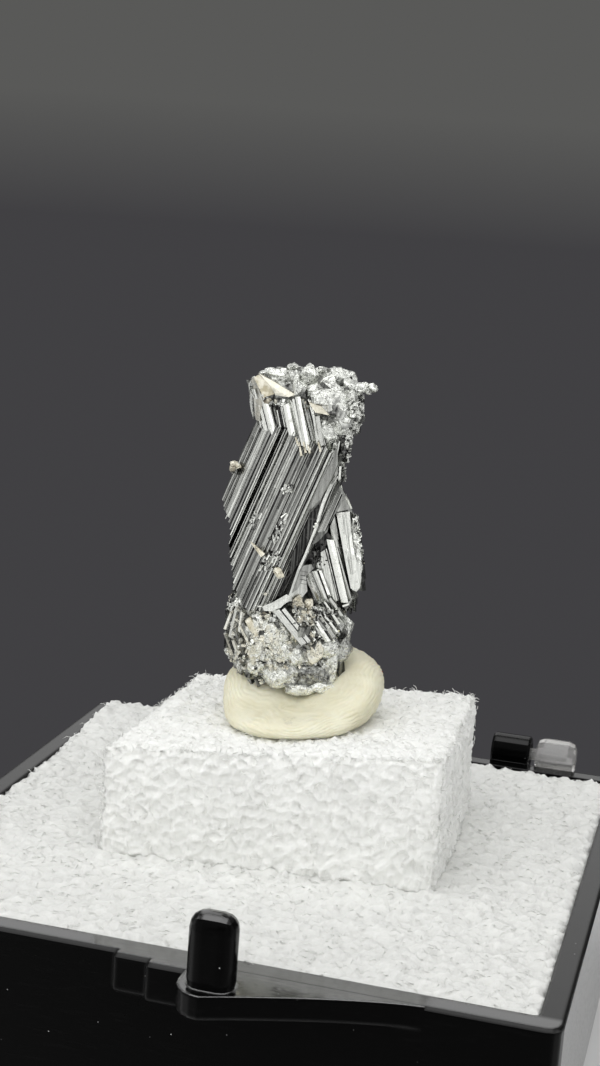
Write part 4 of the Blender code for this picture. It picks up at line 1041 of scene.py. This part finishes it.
def cell_relief(here, size, edge):
    """0 in the middle of a foam cell, 1 on the wall between two."""
    near = noise.voronoi(here / size)[0]
    return max(0.0, 1.0 - (near[1] - near[0]) / edge)


def grid_sheet(across, deep, make_point):
    """A grid of points and its faces."""
    verts = [make_point(i / across, j / deep) for j in range(deep + 1) for i in range(across + 1)]
    faces = []
    for j in range(deep):
        for i in range(across):
            a = j * (across + 1) + i
            faces.append([a, a + 1, a + across + 2, a + across + 1])
    return verts, faces


def strand(verts, faces, start, way, out, length, radius):
    """A thin bent strut of foam: three sides, bowed out of the surface."""
    side = way.cross(out)
    side = side.normalized() if side.length > 0.01 else Vector((1, 0, 0))
    first = len(verts)
    for share, bow, size in ((0.0, 0.0, 1.0), (0.5, 0.18, 0.8), (1.0, 0.0, 0.5)):
        middle = start + way * length * share + out * length * bow
        for turn in (0.0, 2.09, 4.19):
            verts.append(middle + (side * math.cos(turn) + out * math.sin(turn)) * radius * size)
    for ring in (0, 3):
        for i in range(3):
            a, b = first + ring + i, first + ring + (i + 1) % 3
            faces.append([a, b, b + 3, a + 3])
    faces.append([first + 2, first + 1, first])
    faces.append([first + 6, first + 7, first + 8])


def fluff_over(verts, faces, pore_shades, spots, count, lift):
    """Struts that stand on a foam surface; spots are points of it with the way out of it."""
    for _ in range(count):
        start, out = dice.choice(spots)
        way = Vector((dice.gauss(0, 1), dice.gauss(0, 1), dice.gauss(0, 1)))
        way = (way - out * way.dot(out)).normalized() + out * dice.uniform(-0.1, lift)
        way.normalize()
        strand(verts, faces, start - out * 0.03, way, out, dice.uniform(0.18, 0.5),
            dice.uniform(0.015, 0.032))
    pore_shades += [0.0] * (len(verts) - len(pore_shades))


def make_liner(finish):
    """The foam sheet that fills the base, rough on top and pressed against the walls."""
    half = INNER - 0.02
    low = LINER_FOOT
    step = 200

    def top(u, v):
        x, y = half * (2 * u - 1), half * (2 * v - 1)
        here = Vector((x, y, 0))
        rim = min(1.0, (half - max(abs(x), abs(y))) / 0.5)
        fluff = 0.18 * cell_relief(here, 0.55, 0.35) + 0.16 * noise.noise(here *
            0.9) + 0.12 * noise.noise(here * 3.1)
        edge = 0.25 * noise.noise(here * 2.3 + Vector((9, 0, 0))) * (1 - rim)
        bulge = min(1.0, max(0.0, (-x - 2.0) / 8.0)) * min(1.0, max(0.0, (y - 6.0) / 6.0))
        return (x, y, RIM - 0.12 + fluff + edge + 0.55 * bulge - 0.15 * (1 - rim) ** 2)

    verts, faces = grid_sheet(step, step, top)
    ring = [i for i in range(step)]
    ring += [step + j * (step + 1) for j in range(step)]
    ring += [(step + 1) * (step + 1) - 1 - i for i in range(step)]
    ring += [(step + 1) * (step - j) for j in range(step)]
    start = len(verts)
    verts += [(verts[i][0], verts[i][1], low) for i in ring]
    count = len(ring)
    faces += [[ring[i], start + i, start + (i + 1) % count, ring[(i + 1) % count]] for i in range(count)]
    faces.append([start + i for i in range(count)][::-1])
    # painted shade: the lower a point of the top, the darker, and the sides a fixed shade
    pore_shades = [min(1.0, max(0.0, 0.5 - 2.2 * (z - RIM + 0.05))) if z > RIM - 0.6 else 0.3 for _, _,
        z in verts]
    verts = [Vector(point) for point in verts]
    spots = [(point, Vector((0, 0, 1))) for point in verts[:start]]
    fluff_over(verts, faces, pore_shades, spots, 4200, 0.15)
    liner = new_piece("liner_sheet", verts, faces, finish, smooth=True)
    liner.data.attributes.new("pore_shade", "FLOAT", "POINT").data.foreach_set("value", pore_shades)
    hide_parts("foam_liner")


def block_plan(u, v):
    """A point between the block's four corners: x, y and the height of the top above the rim."""
    a, b, c, d = (Vector(corner) for corner in BLOCK_CORNERS)
    return a.lerp(b, u).lerp(d.lerp(c, u), v)


def block_top(x, y):
    """Height of the block's top above the rim."""
    left, right = BLOCK_CORNERS[0], BLOCK_CORNERS[1]
    across = (x - left[0]) / (right[0] - left[0])
    deep = (y - left[1]) / (BLOCK_CORNERS[3][1] - left[1])
    front = left[2] + (right[2] - left[2]) * across
    back = BLOCK_CORNERS[3][2] + (BLOCK_CORNERS[2][2] - BLOCK_CORNERS[3][2]) * across
    return front + (back - front) * deep


def make_block(finish):
    """The hand cut block: large open cells on its sides, finer grain on its top."""
    across, deep, tall = 150, 130, 56
    points, faces = {}, []

    def corner(i, j, k):
        key = (i, j, k)
        if key not in points:
            flat = block_plan(i / across, j / deep)
            points[key] = (len(points), (flat.x, flat.y, RIM - 0.15 + (flat.z + 0.15) * k / tall))
        return points[key][0]

    sizes = (across, deep, tall)
    for first, second, level, flip in ((0, 1, tall, False), (0, 1, 0, True), (0, 2, 0, False),
                                       (0, 2, deep, True), (1, 2, 0, True), (1, 2, across, False)):
        for b in range(sizes[second]):
            for a in range(sizes[first]):
                quad = []
                for step_a, step_b in ((0, 0), (1, 0), (1, 1), (0, 1)):
                    key = [level, level, level]
                    key[first], key[second] = a + step_a, b + step_b
                    quad.append(corner(*key))
                faces.append(quad[::-1] if flip else quad)
    verts, pore_shades, spots, corners = [], [], [], []
    for (i, j, k), (index, place) in points.items():
        here = Vector(place)
        side = i in (0, across) or j in (0, deep)
        top = k == tall
        out = Vector(((-1 if i == 0 else 1 if i == across else 0),
            (-1 if j == 0 else 1 if j == deep else 0), 1 if top else 0))
        here += noise.noise_vector(here / 3.1) * 0.12
        if out.length > 0:
            out.normalize()
            big = cell_relief(here, 0.64, 0.26) if side else 0.0
            small = cell_relief(here + Vector((3, 3, 3)), 0.42, 0.4)
            fluff = noise.noise(here * 4.0)
            rise = 0.16 * small + 0.14 * fluff - 0.05
            if side:
                rise = 0.15 * big + 0.09 * small + 0.1 * fluff - 0.13
            edge = (i in (0, across)) + (j in (0, deep)) + top > 1
            rims = sorted(((min(i, across - i), (-1 if 2 * i < across else 1, 0, 0)),
                           (min(j, deep - j), (0, -1 if 2 * j < deep else 1, 0)), (tall - k, (0, 0, 1))))
            soft = [0.13 * max(0.0, 1 - steps * 0.15) ** 2 for steps, _ in rims]
            here -= (Vector(rims[0][1]) + Vector(rims[1][1])) * soft[1] + Vector(rims[2][1]) * soft[2]
            here += out * (rise + (0.16 * noise.noise(here * 2.0) if edge else 0.0))
            # painted shade: darker inside the cells, lighter on the walls between them
            hollow = 0.9 - 0.9 * max(big, 0.5 * small) if side else 0.45 - 0.45 * small
            if edge and k > 0:
                corners.append((here, out.copy()))
            elif k > 0 and (big > 0.35 or not side or dice.random() < 0.2):
                spots.append((here, out.copy()))
        else:
            hollow = 0.0
        verts.append(here)
        pore_shades.append(hollow)
    fluff_over(verts, faces, pore_shades, spots, 2600, 0.5)
    fluff_over(verts, faces, pore_shades, corners, 900, 0.8)
    block = new_piece("cut_block", verts, faces, finish, smooth=True)
    block.data.attributes.new("pore_shade", "FLOAT", "POINT").data.foreach_set("value", pore_shades)
    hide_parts("foam_block")


def putty_height(across, deep):
    """The putty's height at a place across and into the depth, as shares of its radii."""
    rise = min(1.0, max(0.0, (0.55 * abs(across) + deep + 0.45) / 1.1))
    rise = rise * rise * (3 - 2 * rise)
    sides = PUTTY_SIDES + 0.05 * across + 0.2 * deep
    return PUTTY_FRONT + (sides - PUTTY_FRONT) * rise


def make_putty(finish):
    """A pressed blob that hugs the crystal's foot: low in front, high at the sides and behind."""
    verts, faces, smudges, pressed = [], [], [], []
    around, tall = 300, 130
    for j in range(tall + 1):
        polar = math.pi * j / tall
        for i in range(around):
            swing = math.tau * i / around
            way = Vector((math.sin(polar) * math.cos(swing), math.sin(polar) * math.sin(swing),
                -math.cos(polar)))
            ring = max(0.0, 1 - way.z ** 2) ** 0.5
            swell = ring ** 0.38 / ring if ring > 0.01 else 1.0
            across, deep = way.x * swell, way.y * swell
            x = PUTTY_CENTRE[0] + across * PUTTY_RADII[0]
            y = PUTTY_CENTRE[1] + deep * PUTTY_RADII[1]
            low = block_top(x, y) - 0.15
            place = Vector((x, y, RIM + low + putty_height(across, deep) * (way.z + 1) / 2))
            warp = noise.noise(place * 0.6) * 0.5 + 0.12 * noise.noise(place * 1.7)
            from_foot = (Vector((place.x * 0.9, place.y * 0.3, place.z * 1.5)) -
                Vector((0.2, 0, 27.2))).length
            lines = math.sin((from_foot + warp) * PRESS_LINES) * (0.4 + noise.noise(place * 0.9))
            fine = noise.noise(Vector((place.x, place.y, place.z * 5.0)) * 1.3 +
                Vector((warp, 0, warp * 3)))
            pressed.append(min(0.45, max(0.0, 0.45 * lines + 0.35 * fine)))
            relief = 0.03 * lines + 0.045 * fine + 0.1 * noise.noise(place * 0.55)
            out = Vector((way.x, way.y, way.z * 0.6)).normalized()
            verts.append(place + out * relief)
            near = (place - Vector(PUTTY_SMUDGE)).length
            smudges.append(max(0.0, 1 - near / 0.7))
    for j in range(tall):
        for i in range(around):
            a, b = j * around + i, j * around + (i + 1) % around
            faces.append([a, b, b + around, a + around])
    putty = new_piece("pressed_putty", verts, faces, finish, smooth=True)
    putty.data.attributes.new("press", "FLOAT", "POINT").data.foreach_set("value", pressed)
    putty.data.attributes.new("smudge", "FLOAT", "POINT").data.foreach_set("value", smudges)
    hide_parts("putty")


# ---------------------------------------------------------------- studio

def make_camera():
    """The camera, with the lens and place of the fitted view."""
    yaw, pitch, roll = (math.radians(angle) for angle in (YAW, PITCH, ROLL))
    ahead = Vector((math.sin(yaw) * math.cos(pitch), math.cos(yaw) * math.cos(pitch), -math.sin(pitch)))
    level = Vector((math.cos(yaw), -math.sin(yaw), 0))
    above = level.cross(ahead)
    right = level * math.cos(roll) + above * math.sin(roll)
    up = above * math.cos(roll) - level * math.sin(roll)
    camera = bpy.data.objects.new("camera", bpy.data.cameras.new("camera"))
    bpy.context.scene.collection.objects.link(camera)
    camera.data.lens = LENS
    camera.data.sensor_width = SENSOR
    camera.data.clip_start = 0.002
    turn = Matrix((right, up, -ahead)).transposed().to_4x4()
    camera.matrix_world = Matrix.Translation(EYE * MM) @ turn
    bpy.context.scene.camera = camera


def area_light(name, azimuth, elevation, distance, size, radiance):
    """A soft box that faces the crystal; azimuth 0 is in front of the latch side, and 90 right of it."""
    a, e = math.radians(azimuth), math.radians(elevation)
    way = Vector((math.sin(a) * math.cos(e), -math.cos(a) * math.cos(e), math.sin(e)))
    lamp = bpy.data.lights.new(name, "AREA")
    lamp.shape = "RECTANGLE"
    lamp.size, lamp.size_y = size[0] * MM, size[1] * MM
    lamp.energy = radiance * math.pi * lamp.size * lamp.size_y
    made = bpy.data.objects.new(name, lamp)
    bpy.context.scene.collection.objects.link(made)
    made.location = (Vector((0, 0, 20)) + way * distance) * MM
    made.rotation_euler = (-way).to_track_quat("-Z", "Y").to_euler()
    made.visible_camera = False


def make_studio():
    """A grey backdrop and soft boxes all round."""
    world = bpy.data.worlds.new("studio")
    bpy.context.scene.world = world
    world.use_nodes = True
    tree = world.node_tree
    back = tree.nodes["Background"]
    way = tree.nodes.new("ShaderNodeTexCoord")
    split = tree.nodes.new("ShaderNodeSeparateXYZ")
    ramp = tree.nodes.new("ShaderNodeMapRange")
    mix = tree.nodes.new("ShaderNodeMix")
    mix.data_type = "RGBA"
    tree.links.new(way.outputs["Generated"], split.inputs[0])
    tree.links.new(split.outputs["Z"], ramp.inputs[0])
    ramp.inputs[1].default_value, ramp.inputs[2].default_value = -0.045, 0.02
    tree.links.new(ramp.outputs[0], mix.inputs["Factor"])
    mix.inputs[6].default_value = (0.053, 0.052, 0.056, 1.0)
    mix.inputs[7].default_value = (0.1, 0.1, 0.097, 1.0)
    tree.links.new(mix.outputs[2], back.inputs["Color"])
    for light in LIGHTS:
        area_light(*light)
    view = bpy.context.scene.view_settings
    view.view_transform = "Standard"
    view.look = "None"


def make_floor():
    """A pale disc that reaches far in front of the box and ends close behind it."""
    count, wide, deep, centre = 96, 175.0, 157.0, -133.0
    verts = [(0, centre, 0)]
    for i in range(count):
        swing = math.tau * i / count
        verts.append((wide * math.cos(swing), centre + deep * math.sin(swing), 0))
    faces = [[0, 1 + i, 1 + (i + 1) % count] for i in range(count)]
    mesh = bpy.data.meshes.new("floor")
    mesh.from_pydata([tuple(c * MM for c in v) for v in verts], [], faces)
    mesh.materials.append(floor_finish())
    floor = bpy.data.objects.new("floor", mesh)
    bpy.context.scene.collection.objects.link(floor)


make_camera()
make_studio()
make_floor()
dress("box_base", black_finish())
for side in ("left", "right"):
    dress("lid_knuckle_" + side, clear_finish())
make_liner(foam_finish("liner_foam", 0.79, 2.2))
make_block(foam_finish("block_foam", 0.93, 1.4))
make_putty(putty_finish())
make_crystal()
